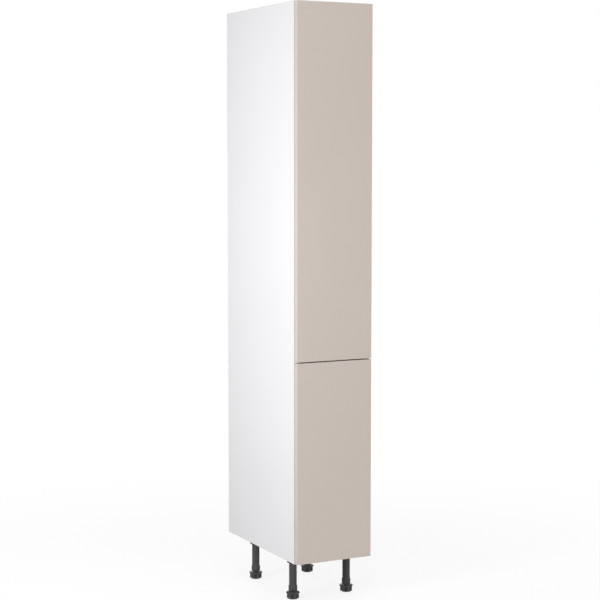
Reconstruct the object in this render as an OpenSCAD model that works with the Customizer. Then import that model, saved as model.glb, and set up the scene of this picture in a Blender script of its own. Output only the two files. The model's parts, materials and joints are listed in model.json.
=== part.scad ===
// Pull out larder unit: a tall narrow cabinet on four screw legs. Its two slab fronts are fixed to one
// full height frame, which rolls out on ball slides at the base and at the top and carries five shelves.
// Millimetres. +Z is up, the fronts face -Y, and the origin is the middle of the footprint on the floor.

/* [Cabinet] */
// Width of the cabinet
unit_w = 300; // [280:1:400]
// Depth of the cabinet without its fronts
carcase_d = 560; // [545:1:620]
// Height of the cabinet without its legs
carcase_h = 1970; // [1860:1:2300]
// Thickness of the cabinet boards
board_t = 18; // [16:0.5:22]
// Thickness of the back panel
back_t = 8; // [5:0.5:10]
// Distance of the back panel in from the rear edges
back_inset = 20; // [15:1:30]
// Depth of the grooves that hold the back panel
groove_d = 8; // [5:0.5:9]
// Play of the back panel in its grooves
groove_play = 0.3; // [0.1:0.1:0.8]

/* [Fronts] */
// Thickness of the fronts
front_t = 18; // [16:0.5:22]
// Air between the fronts and the cabinet
front_air = 2; // [1.5:0.1:4]
// Margin of the fronts in from the sides of the cabinet
front_side = 2; // [1:0.5:4]
// Margin of the fronts in from the top and the bottom of the cabinet
front_end = 1.5; // [1:0.5:4]
// Height of the lower front
lower_front_h = 715; // [660:1:880]
// Gap between the lower and the upper front
front_gap = 4; // [2:0.5:6]
// Diameter of the buffers behind the fronts
buffer_d = 10; // [6:0.5:12]
// Distance of the buffers from the ends of their front
buffer_end = 40; // [20:1:80]
// Play between a buffer and the cabinet
buffer_play = 0.1; // [0.1:0.1:0.5]

/* [Board joints] */
// Diameter of a cam lock
cam_d = 15; // [12:0.5:20]
// Depth of a cam lock
cam_h = 12.5; // [10:0.5:14]
// Distance of a cam lock from the end of its board
cam_in = 34; // [24:1:40]
// Distance of the front cam locks from the front of the cabinet
cam_front = 45; // [35:1:55]
// Distance of the rear cam locks from the rear of the cabinet
cam_rear = 70; // [60:1:85]
// Length of the screwdriver slot of a cam lock
cam_slot_l = 9; // [6:0.5:10]
// Width of the screwdriver slot of a cam lock
cam_slot_w = 1.4; // [1:0.1:2]
// Depth of the screwdriver slot of a cam lock
cam_slot_d = 2; // [1:0.1:3]
// Diameter of the thread of a cam bolt
bolt_thread_d = 5; // [4:0.5:7]
// Length of a cam bolt in the side panel
bolt_thread_l = 11; // [8:0.5:13]
// Diameter of the shank of a cam bolt
bolt_shank_d = 6; // [5:0.5:7]
// Length of the head of a cam bolt
bolt_head_l = 3; // [2:0.5:4]
// Rim of the head of a cam bolt around its shank
bolt_rim = 0.4; // [0.2:0.1:0.6]
// Distance of the end of a cam bolt from the middle of its cam lock
cam_bite = 2; // [1:0.5:3]
// Radial play of a cam bolt in the board and in the cam lock
edge_play = 0.3; // [0.2:0.1:0.5]
// Diameter of a dowel
dowel_d = 8; // [6:0.5:8]
// Length of a dowel
dowel_l = 30; // [25:1:40]
// Part of a dowel in the side panel
dowel_side_l = 10; // [8:0.5:13]
// Distance of the front dowels from the front of the cabinet
dowel_front = 140; // [130:1:160]
// Distance of the rear dowels from the rear of the cabinet
dowel_rear = 185; // [180:1:220]
// Radial play of cams, bolts, dowels and screws in their bores
bore_play = 0.05; // [0.02:0.01:0.1]
// Air beyond the end of a bolt, dowel, screw or wire in its blind bore
bore_end = 0.5; // [0.3:0.1:1]

/* [Legs] */
// Height of the cabinet above the floor
leg_h = 150; // [135:1:180]
// Distance of the legs from the sides
leg_side = 41; // [40:1:60]
// Distance of the front legs from the front of the cabinet
leg_front = 92; // [85:1:120]
// Distance of the rear legs from the rear of the cabinet
leg_rear = 155; // [145:1:170]
// Outer diameter of the leg tube
tube_d = 28; // [27:0.5:30]
// Wall of the leg tube
tube_wall = 2.1; // [1.5:0.1:2.2]
// Outer diameter of the threaded collar
collar_d = 32; // [31:0.5:36]
// Height of the threaded collar
collar_h = 21.5; // [18:0.5:26]
// Height of the slope at the lower end of the collar
collar_lead = 3; // [2:0.5:6]
// Height of the slope at the upper end of the collar
collar_fade = 3; // [2:0.5:6]
// Air between the foot and the collar
neck_h = 4; // [3.5:0.5:14]
// Diameter of the foot spindle
spindle_d = 22; // [19:0.5:22]
// Length of the foot spindle above the foot
spindle_l = 60; // [58:1:66]
// Bore of the foot spindle
spindle_bore_d = 15; // [10:0.5:16]
// Height of the foot with its flange
foot_h = 24.5; // [22:0.5:30]
// Diameter of the foot below its flange
foot_d = 43.5; // [38:0.5:46]
// Diameter of the foot flange
flange_d = 49.5; // [48:0.5:52]
// Height of the foot flange
flange_h = 4.5; // [3:0.5:6]
// Chamfer of the edges of the foot
foot_edge = 1; // [0.5:0.1:1.2]
// Height of solid plastic in the foot below the spindle bore
foot_web = 12; // [11.5:0.5:14]
// Number of spanner notches around the foot
notches = 6; // [4:1:10]
// Width of a spanner notch
notch_w = 7; // [4:0.5:8]
// Depth of a spanner notch
notch_d = 3.2; // [1.5:0.1:3.4]
// Height of the foot above a spanner notch, below its flange
notch_top = 2.5; // [1:0.5:6]
// Diameter of the floor pad
pad_d = 34; // [30:0.5:35]
// Thickness of the floor pad
pad_t = 3; // [2.5:0.5:4]
// Height by which the pad stands proud of the foot
pad_proud = 1.5; // [1:0.5:2]
// Diameter of the pin of the floor pad
pad_pin_d = 8; // [6:0.5:10]
// Length of the pin of the floor pad
pad_pin_l = 6; // [4:0.5:8]
// Width of the screwed plate of a leg socket
socket_w = 43; // [42:0.5:44]
// Length of the screwed plate of a leg socket, from front to rear
socket_l = 60; // [58:0.5:64]
// Thickness of the plate of a leg socket
socket_t = 4; // [3:0.5:5]
// Corner radius of the plate of a leg socket
socket_r = 5; // [2:0.5:6]
// Length of the boss of a leg socket in its tube
boss_l = 22; // [15:1:26]
// Wall of the boss of a leg socket
boss_wall = 2.2; // [1.5:0.1:3]
// Diameter of the cup of a leg socket round the top of its tube
cup_d = 42; // [40:0.5:43]
// Depth of the cup of a leg socket below its plate
cup_h = 13; // [8:0.5:18]
// Wall of the cup of a leg socket
cup_wall = 2.2; // [1.5:0.1:3]
// Number of ribs between the cup and the tube
cup_ribs = 8; // [4:2:12]
// Thickness of a rib of the cup
cup_rib_t = 1.8; // [1.2:0.1:2.4]
// Distance of the socket screws from the middle of the leg, to the sides
socket_screw_x = 13; // [12:0.5:15]
// Distance of the socket screws from the middle of the leg, to front and rear
socket_screw_y = 24; // [23.5:0.5:26]
// Radial play of the turning and the clipped parts of a leg
leg_play = 0.1; // [0.05:0.01:0.1]

/* [Ball slides] */
// Length of a ball slide
slide_l = 500; // [490:1:510]
// Distance of the slides behind the front of the cabinet
slide_front = 8; // [6:1:10]
// Height of a ball slide
slide_h = 45.7; // [45:0.1:46]
// Thickness of a ball slide
slide_t = 12.7; // [12.5:0.1:13]
// Sheet of the slide members
member_t = 1.2; // [1.1:0.1:1.3]
// Diameter of the balls of the outer cage
ball_a = 4; // [3.8:0.1:4.2]
// Diameter of the balls of the inner cage
ball_b = 3.2; // [3:0.1:3.4]
// Play on each side of a ball
ball_play = 0.1; // [0.05:0.01:0.15]
// Radial play of a ball in its cage
cage_hole_play = 0.15; // [0.1:0.01:0.2]
// Depth of the lips of the outer member
lip_a = 1.2; // [1:0.1:1.3]
// Depth of the lips of the middle member
lip_b = 1; // [0.8:0.1:1.1]
// Distance of the lips of the outer member from the face of the inner member
lip_a_in = 1; // [0.8:0.1:1.2]
// Distance of the lips of the middle member from the face of the inner member
lip_b_in = 1.5; // [1.3:0.1:1.8]
// Distance of the outer balls from the outer web
ball_a_u = 6.2; // [5.5:0.1:6.8]
// Distance of the inner balls from the outer web
ball_b_u = 7; // [6.5:0.1:7.4]
// Air between the edges of a cage and the lips beside it
cage_edge_air = 0.8; // [0.5:0.1:1]
// Sheet of a ball cage
cage_t = 0.6; // [0.5:0.1:0.7]
// Air between the flat webs of neighbouring members and cages
web_air = 0.25; // [0.2:0.01:0.3]
// Length of a ball cage
cage_l = 220; // [200:1:240]
// Distance of a ball cage from the rear end of its slide
cage_rear = 140; // [135:1:145]
// Number of balls along one edge of a cage
balls = 8; // [5:1:9]

/* [Runner] */
// Sheet of channel, carriages and brackets
sheet_t = 2; // [1.5:0.1:2.5]
// Width of the base channel
channel_w = 100; // [96:1:120]
// Air between the slides and the sheet above or below them
slide_air = 2; // [1.5:0.1:4]
// Air between the base channel and the carriage
carriage_air = 2; // [1.5:0.1:4]
// Height of the ears that hold a post on the carriage
ear_h = 32; // [28:1:34]
// Distance of the end screws of a runner from its ends
runner_screw_end = 40; // [30:1:45]
// Distance of the screws of the base channel from its middle
channel_screw_x = 20; // [18:1:24]
// Width of the flange of the top bracket
top_flange_w = 50; // [40:1:60]
// Drop of the top carriage below its slide
top_drop = 12; // [8:0.5:20]
// Height of the flange of the top carriage beside the posts
top_skirt_h = 42; // [35:1:60]

/* [Soft close] */
// Length of the damper housing
damper_l = 130; // [100:1:150]
// Width of the damper housing
damper_w = 28; // [24:1:32]
// Height of the damper housing
damper_h = 18; // [14:1:24]
// Distance of the damper from the rear end of the slides
damper_rear = 48; // [46:1:60]
// Wall of the damper housing beside its oil cylinder
damper_wall = 4; // [3:0.5:6]
// Diameter of the oil cylinder
oil_d = 8; // [6:0.5:10]
// Depth of the oil cylinder below the rim of its pocket, and in the floor of it
oil_sink = 1; // [0.5:0.1:2]
// Distance of the oil cylinder behind the driving pin
oil_back = 20; // [18:1:30]
// Length of the slot behind the driving pin
slot_back = 12; // [8:1:14]
// Distance of the driving pin behind the front of the damper
pin_front = 24; // [15:1:40]
// Reach of the driving pin into the damper
pin_reach = 10; // [6:0.5:12]
// Air below the driving pin
pin_air = 1; // [0.5:0.1:2]
// Diameter of the driving pin on the carriage
pin_d = 6; // [5:0.5:8]
// Play of the driving pin in the slot of the damper
pin_play = 0.8; // [0.5:0.1:1.5]

/* [Frame] */
// Width of a post
post_w = 20; // [18:1:25]
// Depth of a post
post_d = 30; // [25:1:35]
// Wall of a post
post_wall = 1.5; // [1.2:0.1:2.5]
// Distance of the front post behind the front of the cabinet
post_front_in = 12; // [10:1:20]
// Distance of the rear post from the rear end of the slides
post_rear_in = 8; // [4:1:12]
// Length of the post that the arms of brackets and clamps leave free
arm_short = 3; // [1:0.5:6]
// Diameter of a frame bolt
bolt_d = 6; // [5:0.5:6.5]
// Width of the head and of the nut of a frame bolt across its corners
bolt_head_d = 11; // [9:0.5:12]
// Height of the head and of the nut of a frame bolt
bolt_head_h = 4; // [3:0.5:5]
// Width of a front bracket
bracket_w = 190; // [160:1:200]
// Height of a front bracket
bracket_h = 50; // [44:1:60]
// Height of a front bracket above the underside of its shelf
bracket_up = 110; // [100:1:115]
// Side distance of the screws in a front bracket
bracket_screw_x = 80; // [60:1:90]
// Half the height between the screws in a front bracket
bracket_screw_z = 15; // [12:1:18]

/* [Shelves] */
// Height of the lowest shelf above the base of the cabinet
shelf_first = 122; // [118:1:140]
// Height from shelf to shelf
shelf_pitch = 350; // [330:1:355]
// Air between a shelf and the sides of the cabinet
shelf_side = 14; // [10:1:30]
// Air between a shelf and the posts
shelf_end = 4; // [3:0.5:8]
// Thickness of a shelf board
shelf_t = 16; // [12:1:19]
// Corner radius of a shelf board
shelf_r = 20; // [12:1:30]
// Height of the gallery above the shelf board
gallery_h = 75; // [50:1:80]
// Height of the lower wire of the gallery above the shelf board
gallery_mid = 36; // [20:1:45]
// Distance of the gallery in from the edge of the shelf
gallery_in = 9; // [7:1:14]
// Distance of the outer side uprights from the ends of the gallery
upright_end = 60; // [40:1:80]
// Distance of the end uprights from the middle
end_upright_x = 54.5; // [30:0.5:80]
// Depth to which crossing wires are welded into each other
weld_bite = 0.8; // [0.4:0.1:1]
// Diameter of the top wire of the gallery
wire_top_d = 6; // [5:0.5:8]
// Diameter of the other wires of the gallery
wire_d = 4; // [3:0.5:5]
// Depth of a gallery upright in the shelf board
pin_in = 8; // [5:0.5:10]
// Width of a shelf clamp
clamp_w = 60; // [50:1:70]
// Height of a shelf clamp
clamp_h = 30; // [26:1:32]
// Reach of a shelf clamp below its shelf
clamp_l = 50; // [40:1:60]
// Distance of the screws of a shelf clamp from its middle
clamp_screw_x = 20; // [15:1:22]
// Air between the arms of a shelf clamp and the underside of its shelf
arm_gap = 4; // [2:0.5:6]
// Length of a shelf screw below its head
shelf_screw_l = 12; // [9:0.5:12]

/* [Screws] */
// Diameter of a screw
screw_d = 4; // [3.5:0.5:5]
// Length of a screw below its head
screw_l = 14; // [12:0.5:14]
// Diameter of a screw head
head_d = 8; // [7:0.5:9]
// Height of a screw head
head_h = 2.5; // [2:0.1:3]
// Width of the socket in a screw head across its corners
socket_key = 3.4; // [2.5:0.1:4]
// Depth of the socket in a screw head
key_depth = 1.4; // [1:0.1:1.6]
// Length of a leg of a wall bracket
wall_leg = 40; // [34:1:50]
// Height of a wall bracket
wall_h = 30; // [25:1:40]
// Half the distance between the screws of a wall bracket
wall_screw = 8; // [6:0.5:9]
// Distance of the screws of a wall bracket from the back panel
wall_screw_in = 26; // [20:1:28]
// Radial play of the wall screw in the back panel
wall_hole_play = 0.5; // [0.2:0.1:1]
// Drop of a wall bracket below the top panel
wall_drop = 12; // [8:1:40]
// Diameter of the wall hole of a wall bracket
wall_hole_d = 5.5; // [5:0.5:8]

/* [Hidden] */

$fn = 48;
eps = 0.01;
white = [0.93, 0.93, 0.92];
cashmere = [0.78, 0.74, 0.71];
zinc = [0.72, 0.73, 0.74];
bright = [0.86, 0.87, 0.88];
graphite = [0.3, 0.3, 0.3];
black = [0.12, 0.12, 0.12];
beech = [0.8, 0.66, 0.48];
milky = [0.85, 0.85, 0.83];

// Cabinet: planes of its faces
half_w = unit_w / 2;
inner_w = half_w - board_t;
depth = front_t + front_air + carcase_d;
front_y = -depth / 2;
back_of_front = front_y + front_t;
cab_y = back_of_front + front_air;
rear_y = cab_y + carcase_d;
back_y = rear_y - back_inset - back_t;
floor_z = leg_h + board_t;
top_z = leg_h + carcase_h;
ceil_z = top_z - board_t;
back_edge = groove_d - groove_play;

// Board joints: places of cams and dowels along the boards, and the heights of the board middles
cam_ys = [cab_y + cam_front, rear_y - cam_rear];
dowel_ys = [cab_y + dowel_front, rear_y - dowel_rear];
base_mid = leg_h + board_t / 2;
top_mid = top_z - board_t / 2;
bolt_head_w = bolt_shank_d + 2 * bolt_rim;
bolt_inner_l = cam_in - cam_bite;
edge_bore_d = bolt_head_w + 2 * edge_play;

// Legs
leg_x = half_w - leg_side;
leg_front_y = cab_y + leg_front;
leg_rear_y = rear_y - leg_rear;
leg_spots = [[-leg_x, leg_front_y], [leg_x, leg_front_y], [-leg_x, leg_rear_y], [leg_x, leg_rear_y]];
tube_top = leg_h - socket_t;
collar_z = foot_h + neck_h;
bore_r = tube_d / 2 - tube_wall;
boss_r = bore_r - leg_play;
cup_r = cup_d / 2 - cup_wall;
pin_r = pad_pin_d / 2;

// Fronts
front_w = unit_w - 2 * front_side;
lower_z = leg_h + front_end;
upper_z = lower_z + lower_front_h + front_gap;
upper_front_h = top_z - front_end - upper_z;
buffer_x = half_w - board_t / 2;
buffer_zs = [
    lower_z + buffer_end, lower_z + lower_front_h - buffer_end,
    upper_z + buffer_end, upper_z + upper_front_h - buffer_end
];

// Slides, in their own frame: u across from the outer web, v up, a along from the rear end
race_a = slide_h / 2 - member_t;
mid_r = race_a - ball_a - 2 * ball_play;
race_b = mid_r - member_t;
in_r = race_b - ball_b - 2 * ball_play;
cage_a_v = (race_a + mid_r) / 2;
cage_b_v = (race_b + in_r) / 2;
cage_a_u = member_t + web_air;
mid_u = cage_a_u + cage_t + web_air;
cage_b_u = mid_u + member_t + web_air;
in_u = cage_b_u + cage_t + web_air;
lip_a_u = slide_t - lip_a_in - member_t;
lip_b_u = slide_t - lip_b_in - member_t;
ball_step = cage_l / balls;
slide_y = cab_y + slide_front + slide_l;

// Runner
low_z = floor_z + sheet_t + slide_air + slide_h / 2;
high_z = ceil_z - sheet_t - slide_air - slide_h / 2;
channel_h = 2 * slide_air + slide_h + sheet_t;
web_x = channel_w / 2 - sheet_t;
carriage_x = web_x - slide_t;
carriage_top = floor_z + channel_h + carriage_air + sheet_t;
top_web_x = slide_t / 2;
skirt_top = high_z - slide_h / 2 - top_drop;
skirt_z = skirt_top - top_skirt_h;
channel_ys = [slide_y - runner_screw_end, slide_y - slide_l / 2, slide_y - slide_l + runner_screw_end];
top_screw_x = top_web_x + sheet_t + top_flange_w / 2;
damper_y = slide_y - damper_rear;
pin_y = damper_y - damper_l + pin_front;
pin_low = floor_z + sheet_t + damper_h - pin_reach;

// Frame
post_1 = cab_y + post_front_in;
post_2 = slide_y - post_rear_in - post_d;
post_z = carriage_top;
post_l = skirt_top - sheet_t - post_z;
post_ys = [post_1 + post_d / 2, post_2 + post_d / 2];
ear_z = carriage_top + ear_h / 2;
skirt_bolt_z = skirt_z + top_skirt_h / 2;
arm_l = post_d - arm_short;

// Shelves
shelf_zs = [for (i = [0:4]) floor_z + shelf_first + i * shelf_pitch];
shelf_x = inner_w - shelf_side;
shelf_y0 = post_1 + post_d + shelf_end;
shelf_y1 = post_2 - shelf_end;
shelf_len = shelf_y1 - shelf_y0;
wire_x = shelf_x - gallery_in;
wire_y0 = shelf_y0 + gallery_in;
wire_y1 = shelf_y1 - gallery_in;
wire_r = shelf_r;
side_wire_ys = [wire_y0 + upright_end, (wire_y0 + wire_y1) / 2, wire_y1 - upright_end];
upright_spots = [
    for (s = [-1, 1]) for (y = side_wire_ys) [s * wire_x, y],
    for (y = [wire_y0, wire_y1]) for (s = [-1, 1]) [s * end_upright_x, y]
];
clamp_ys = [shelf_y0 + clamp_l / 2, shelf_y1 - clamp_l / 2];
clamp_drop = (clamp_h + arm_gap) / 2;

// Wall brackets
wall_z = ceil_z - wall_drop - wall_h / 2;
wall_x = inner_w - wall_leg / 2;
wall_y = back_y - wall_screw_in;

// ---- helpers ----

// Box from its low corner to its high corner
module span(a, b) {
    translate(a) cube(b - a);
}

// Round bore or bar of diameter d from a along one axis
module along_x(x0, x1, y, z, d) {
    translate([min(x0, x1), y, z]) rotate([0, 90, 0]) cylinder(d = d, h = abs(x1 - x0));
}

module along_y(x, y0, y1, z, d) {
    translate([x, max(y0, y1), z]) rotate([90, 0, 0]) cylinder(d = d, h = abs(y1 - y0));
}

module along_z(x, y, z0, z1, d) {
    translate([x, y, min(z0, z1)]) cylinder(d = d, h = abs(z1 - z0));
}

// Plate with rounded corners, its middle at the origin
module round_plate(w, l, t, r) {
    linear_extrude(t) union() {
        square([w - 2 * r, l], center = true);
        square([w, l - 2 * r], center = true);
        for (sx = [-1, 1]) for (sy = [-1, 1]) translate([sx * (w / 2 - r), sy * (l / 2 - r)]) circle(r);
    }
}

// Screw whose shank goes up from the origin and whose head hangs below it
module screw(len) {
    difference() {
        union() {
            translate([0, 0, -eps]) cylinder(d = screw_d, h = len + eps);
            translate([0, 0, -head_h]) cylinder(d = head_d, h = head_h);
        }
        translate([0, 0, -head_h - eps]) cylinder(d = socket_key, h = key_depth, $fn = 6);
    }
}

// Bore for a screw, the same way round
module screw_bore(len) {
    translate([0, 0, -eps]) cylinder(d = screw_d + 2 * bore_play, h = len + bore_end);
}

// Frame bolt along X from the face x0 to the face x1, with head and nut outside them
module frame_bolt(x0, x1, y, z) {
    along_x(x0 - eps, x1 + eps, y, z, bolt_d);
    translate([x0, y, z]) rotate([0, -90, 0]) cylinder(d = bolt_head_d, h = bolt_head_h, $fn = 6);
    translate([x1, y, z]) rotate([0, 90, 0]) cylinder(d = bolt_head_d, h = bolt_head_h, $fn = 6);
}

module bolt_bore(y, z) {
    along_x(-post_w, post_w, y, z, bolt_d + 2 * bore_play);
}

// ---- cabinet ----

// Bores of one horizontal board: cams from face_z inwards, bolts and dowels from both ends
module board_bores(z, face_z, dir) {
    for (s = [-1, 1]) {
        for (y = cam_ys) {
            translate([s * (inner_w - cam_in), y, face_z - (dir < 0 ? cam_h + bore_play : eps)])
                cylinder(d = cam_d + 2 * bore_play, h = cam_h + bore_play + eps);
            along_x(s * (inner_w - cam_in), s * (inner_w + eps), y, z, edge_bore_d);
        }
        for (y = dowel_ys) {
            along_x(s * (inner_w - dowel_l + dowel_side_l - bore_end), s * (inner_w + eps), y, z,
                dowel_d + 2 * bore_play);
        }
    }
}

module side_panel(s) {
    x0 = s < 0 ? -half_w : inner_w;
    groove_x = s < 0 ? -inner_w - groove_d : inner_w - eps;
    difference() {
        span([x0, cab_y, leg_h], [x0 + board_t, rear_y, top_z]);
        span([groove_x, back_y - groove_play / 2, floor_z - groove_d],
            [groove_x + groove_d + eps, back_y + back_t + groove_play / 2, ceil_z + groove_d]);
        for (z = [base_mid, top_mid]) {
            for (y = cam_ys) {
                along_x(s * (inner_w - eps), s * (inner_w + bolt_thread_l + bore_end), y, z,
                    bolt_thread_d + 2 * bore_play);
            }
            for (y = dowel_ys) {
                along_x(s * (inner_w - eps), s * (inner_w + dowel_side_l + bore_end), y, z,
                    dowel_d + 2 * bore_play);
            }
        }
        for (z = [wall_z - wall_screw, wall_z + wall_screw]) {
            translate([s * inner_w, wall_y, z]) rotate([0, s * 90, 0]) screw_bore(screw_l - sheet_t);
        }
    }
}

module side_panel_left() {
    color(white) side_panel(-1);
}

module side_panel_right() {
    color(white) side_panel(1);
}

module top_panel() {
    color(white) difference() {
        span([-inner_w, cab_y, ceil_z], [inner_w, rear_y, top_z]);
        span([-inner_w - eps, back_y - groove_play / 2, ceil_z - eps],
            [inner_w + eps, back_y + back_t + groove_play / 2, ceil_z + groove_d]);
        board_bores(top_mid, top_z, -1);
        for (y = channel_ys) {
            translate([top_screw_x, y, ceil_z]) screw_bore(screw_l - sheet_t);
        }
    }
}

module base_panel() {
    color(white) difference() {
        span([-inner_w, cab_y, leg_h], [inner_w, rear_y, floor_z]);
        span([-inner_w - eps, back_y - groove_play / 2, floor_z - groove_d],
            [inner_w + eps, back_y + back_t + groove_play / 2, floor_z + eps]);
        board_bores(base_mid, leg_h, 1);
        for (s = [-1, 1]) for (y = channel_ys) {
            translate([s * channel_screw_x, y, floor_z]) rotate([180, 0, 0]) screw_bore(screw_l - sheet_t);
        }
        for (p = leg_spots) for (sx = [-1, 1]) for (sy = [-1, 1]) {
            translate([p.x + sx * socket_screw_x, p.y + sy * socket_screw_y, leg_h])
                screw_bore(screw_l);
        }
    }
}

module back_panel() {
    color(white) difference() {
        span([-inner_w - back_edge, back_y, floor_z - back_edge],
            [inner_w + back_edge, back_y + back_t, ceil_z + back_edge]);
        for (s = [-1, 1]) {
            along_y(s * wall_x, back_y - 1, back_y + back_t + 1, wall_z, wall_hole_d + 2 * wall_hole_play);
        }
    }
}

// Cam lock, its slotted face at the origin and its body above it
module cam_lock(s) {
    difference() {
        cylinder(d = cam_d, h = cam_h);
        translate([0, 0, board_t / 2]) rotate([0, s * 90, 0]) cylinder(d = edge_bore_d, h = cam_d);
        for (turn = [0, 90]) rotate([0, 0, turn]) {
            translate([-cam_slot_l / 2, -cam_slot_w / 2, -eps]) cube([cam_slot_l, cam_slot_w, cam_slot_d]);
        }
    }
}

module cam_locks() {
    color(zinc) for (s = [-1, 1]) for (y = cam_ys) {
        translate([s * (inner_w - cam_in), y, leg_h]) cam_lock(s);
        translate([s * (inner_w - cam_in), y, top_z]) mirror([0, 0, 1]) cam_lock(s);
    }
}

module cam_bolts() {
    color(zinc) for (s = [-1, 1]) for (y = cam_ys) for (z = [base_mid, top_mid]) {
        translate([s * inner_w, y, z]) rotate([0, s * 90, 0]) union() {
            cylinder(d = bolt_thread_d, h = bolt_thread_l);
            translate([0, 0, -bolt_inner_l]) cylinder(d = bolt_shank_d, h = bolt_inner_l);
            translate([0, 0, -bolt_inner_l]) cylinder(d = bolt_head_w, h = bolt_head_l);
        }
    }
}

module wood_dowels() {
    color(beech) for (s = [-1, 1]) for (y = dowel_ys) for (z = [base_mid, top_mid]) {
        along_x(s * (inner_w + dowel_side_l), s * (inner_w + dowel_side_l - dowel_l), y, z, dowel_d);
    }
}

module wall_brackets() {
    color(zinc) for (s = [-1, 1]) difference() {
        union() {
            span([s < 0 ? -inner_w : inner_w - sheet_t, back_y - wall_leg, wall_z - wall_h / 2],
                [s < 0 ? -inner_w + sheet_t : inner_w, back_y, wall_z + wall_h / 2]);
            span([s < 0 ? -inner_w : inner_w - wall_leg, back_y - sheet_t, wall_z - wall_h / 2],
                [s < 0 ? -inner_w + wall_leg : inner_w, back_y, wall_z + wall_h / 2]);
        }
        along_y(s * wall_x, back_y - sheet_t - 1, back_y + 1, wall_z, wall_hole_d);
        for (z = [wall_z - wall_screw, wall_z + wall_screw]) {
            translate([s * (inner_w - sheet_t), wall_y, z]) rotate([0, s * 90, 0]) screw_bore(sheet_t);
        }
    }
}

// ---- legs ----

module leg_sockets() {
    color(black) for (p = leg_spots) translate([p.x, p.y, 0]) difference() {
        union() {
            translate([0, 0, tube_top]) round_plate(socket_w, socket_l, socket_t, socket_r);
            translate([0, 0, tube_top - boss_l]) cylinder(r = boss_r, h = boss_l + eps);
            translate([0, 0, tube_top - cup_h]) difference() {
                cylinder(d = cup_d, h = cup_h + eps);
                translate([0, 0, -eps]) cylinder(r = cup_r, h = cup_h + eps);
            }
            for (i = [0:cup_ribs - 1]) rotate([0, 0, (i + 0.5) * 360 / cup_ribs]) {
                translate([tube_d / 2 + leg_play, -cup_rib_t / 2, tube_top - cup_h + cup_wall])
                    cube([cup_r - tube_d / 2 + cup_wall / 2, cup_rib_t, cup_h - cup_wall + eps]);
            }
        }
        translate([0, 0, tube_top - boss_l - eps]) cylinder(r = boss_r - boss_wall, h = boss_l);
        for (sx = [-1, 1]) for (sy = [-1, 1]) {
            translate([sx * socket_screw_x, sy * socket_screw_y, tube_top]) screw_bore(socket_t);
        }
    }
}

module leg_tubes() {
    nut_r = spindle_d / 2 + leg_play;
    tube_r = tube_d / 2;
    big_r = collar_d / 2;
    color(graphite) for (p = leg_spots) translate([p.x, p.y, 0]) rotate_extrude() polygon([
        [nut_r, collar_z], [tube_r, collar_z], [big_r, collar_z + collar_lead],
        [big_r, collar_z + collar_h - collar_fade], [tube_r, collar_z + collar_h], [tube_r, tube_top],
        [bore_r, tube_top], [bore_r, collar_z + collar_h], [nut_r, collar_z + collar_h]
    ]);
}

module leg_screws() {
    color(zinc) for (p = leg_spots) for (sx = [-1, 1]) for (sy = [-1, 1]) {
        translate([p.x + sx * socket_screw_x, p.y + sy * socket_screw_y, tube_top]) screw(screw_l);
    }
}

// Floor pad with the pin that holds it in the foot
module floor_pad(p) {
    color(black) translate([p.x, p.y, 0]) union() {
        cylinder(d = pad_d, h = pad_t);
        cylinder(r = pin_r, h = pad_t + pad_pin_l);
    }
}

// Foot with its spindle: one moulding, turned by a spanner in the notches below its flange
module leg_foot(p) {
    color(graphite) translate([p.x, p.y, 0]) difference() {
        rotate_extrude() polygon([
            [pin_r + leg_play, pad_t], [pad_d / 2 + leg_play, pad_t], [pad_d / 2 + leg_play, pad_proud],
            [foot_d / 2 - foot_edge, pad_proud], [foot_d / 2, pad_proud + foot_edge],
            [foot_d / 2, foot_h - flange_h], [flange_d / 2 - foot_edge / 2, foot_h - flange_h],
            [flange_d / 2, foot_h - flange_h + foot_edge], [flange_d / 2 - foot_edge, foot_h - foot_edge / 2],
            [flange_d / 2 - 2 * foot_edge, foot_h], [spindle_d / 2, foot_h],
            [spindle_d / 2, foot_h + spindle_l], [spindle_bore_d / 2, foot_h + spindle_l],
            [spindle_bore_d / 2, pad_t + foot_web + pad_pin_l], [0, pad_t + foot_web + pad_pin_l],
            [0, pad_t + pad_pin_l + bore_end], [pin_r + leg_play, pad_t + pad_pin_l + bore_end]
        ]);
        for (i = [0:notches - 1]) rotate([0, 0, i * 360 / notches]) {
            translate([foot_d / 2 - notch_d, -notch_w / 2, 0])
                cube([notch_d + 1, notch_w, foot_h - flange_h - notch_top]);
        }
    }
}

// ---- ball slides ----

// Slide frame: u to +X (to -X if s < 0), v to +Z, a to -Y from the rear end
module place_slide(x, s, z) {
    translate([x, slide_y, z]) rotate([90, 0, 0]) mirror([s < 0 ? 1 : 0, 0, 0]) children();
}

// The places of the three slides: their outer webs, directions and middles
module at_left() {
    place_slide(-web_x, 1, low_z) children();
}

module at_right() {
    place_slide(web_x, -1, low_z) children();
}

module at_top() {
    place_slide(top_web_x, -1, high_z) children();
}

module slide_outer() {
    h = slide_h / 2;
    u = lip_a_u + member_t;
    lip = race_a - lip_a;
    color(zinc) linear_extrude(slide_l) polygon([
        [0, -h], [u, -h], [u, -lip], [lip_a_u, -lip], [lip_a_u, -race_a], [member_t, -race_a],
        [member_t, race_a], [lip_a_u, race_a], [lip_a_u, lip], [u, lip], [u, h], [0, h]
    ]);
}

module slide_middle() {
    u = lip_b_u + member_t;
    w = mid_u + member_t;
    lip = race_b - lip_b;
    color(bright) linear_extrude(slide_l) polygon([
        [mid_u, -mid_r], [u, -mid_r], [u, -lip], [lip_b_u, -lip], [lip_b_u, -race_b], [w, -race_b],
        [w, race_b], [lip_b_u, race_b], [lip_b_u, lip], [u, lip], [u, mid_r], [mid_u, mid_r]
    ]);
}

module slide_inner() {
    low = in_r - member_t;
    u = slide_t - member_t;
    color(zinc) linear_extrude(slide_l) polygon([
        [in_u, -in_r], [slide_t, -in_r], [slide_t, in_r], [in_u, in_r],
        [in_u, low], [u, low], [u, -low], [in_u, -low]
    ]);
}

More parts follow.
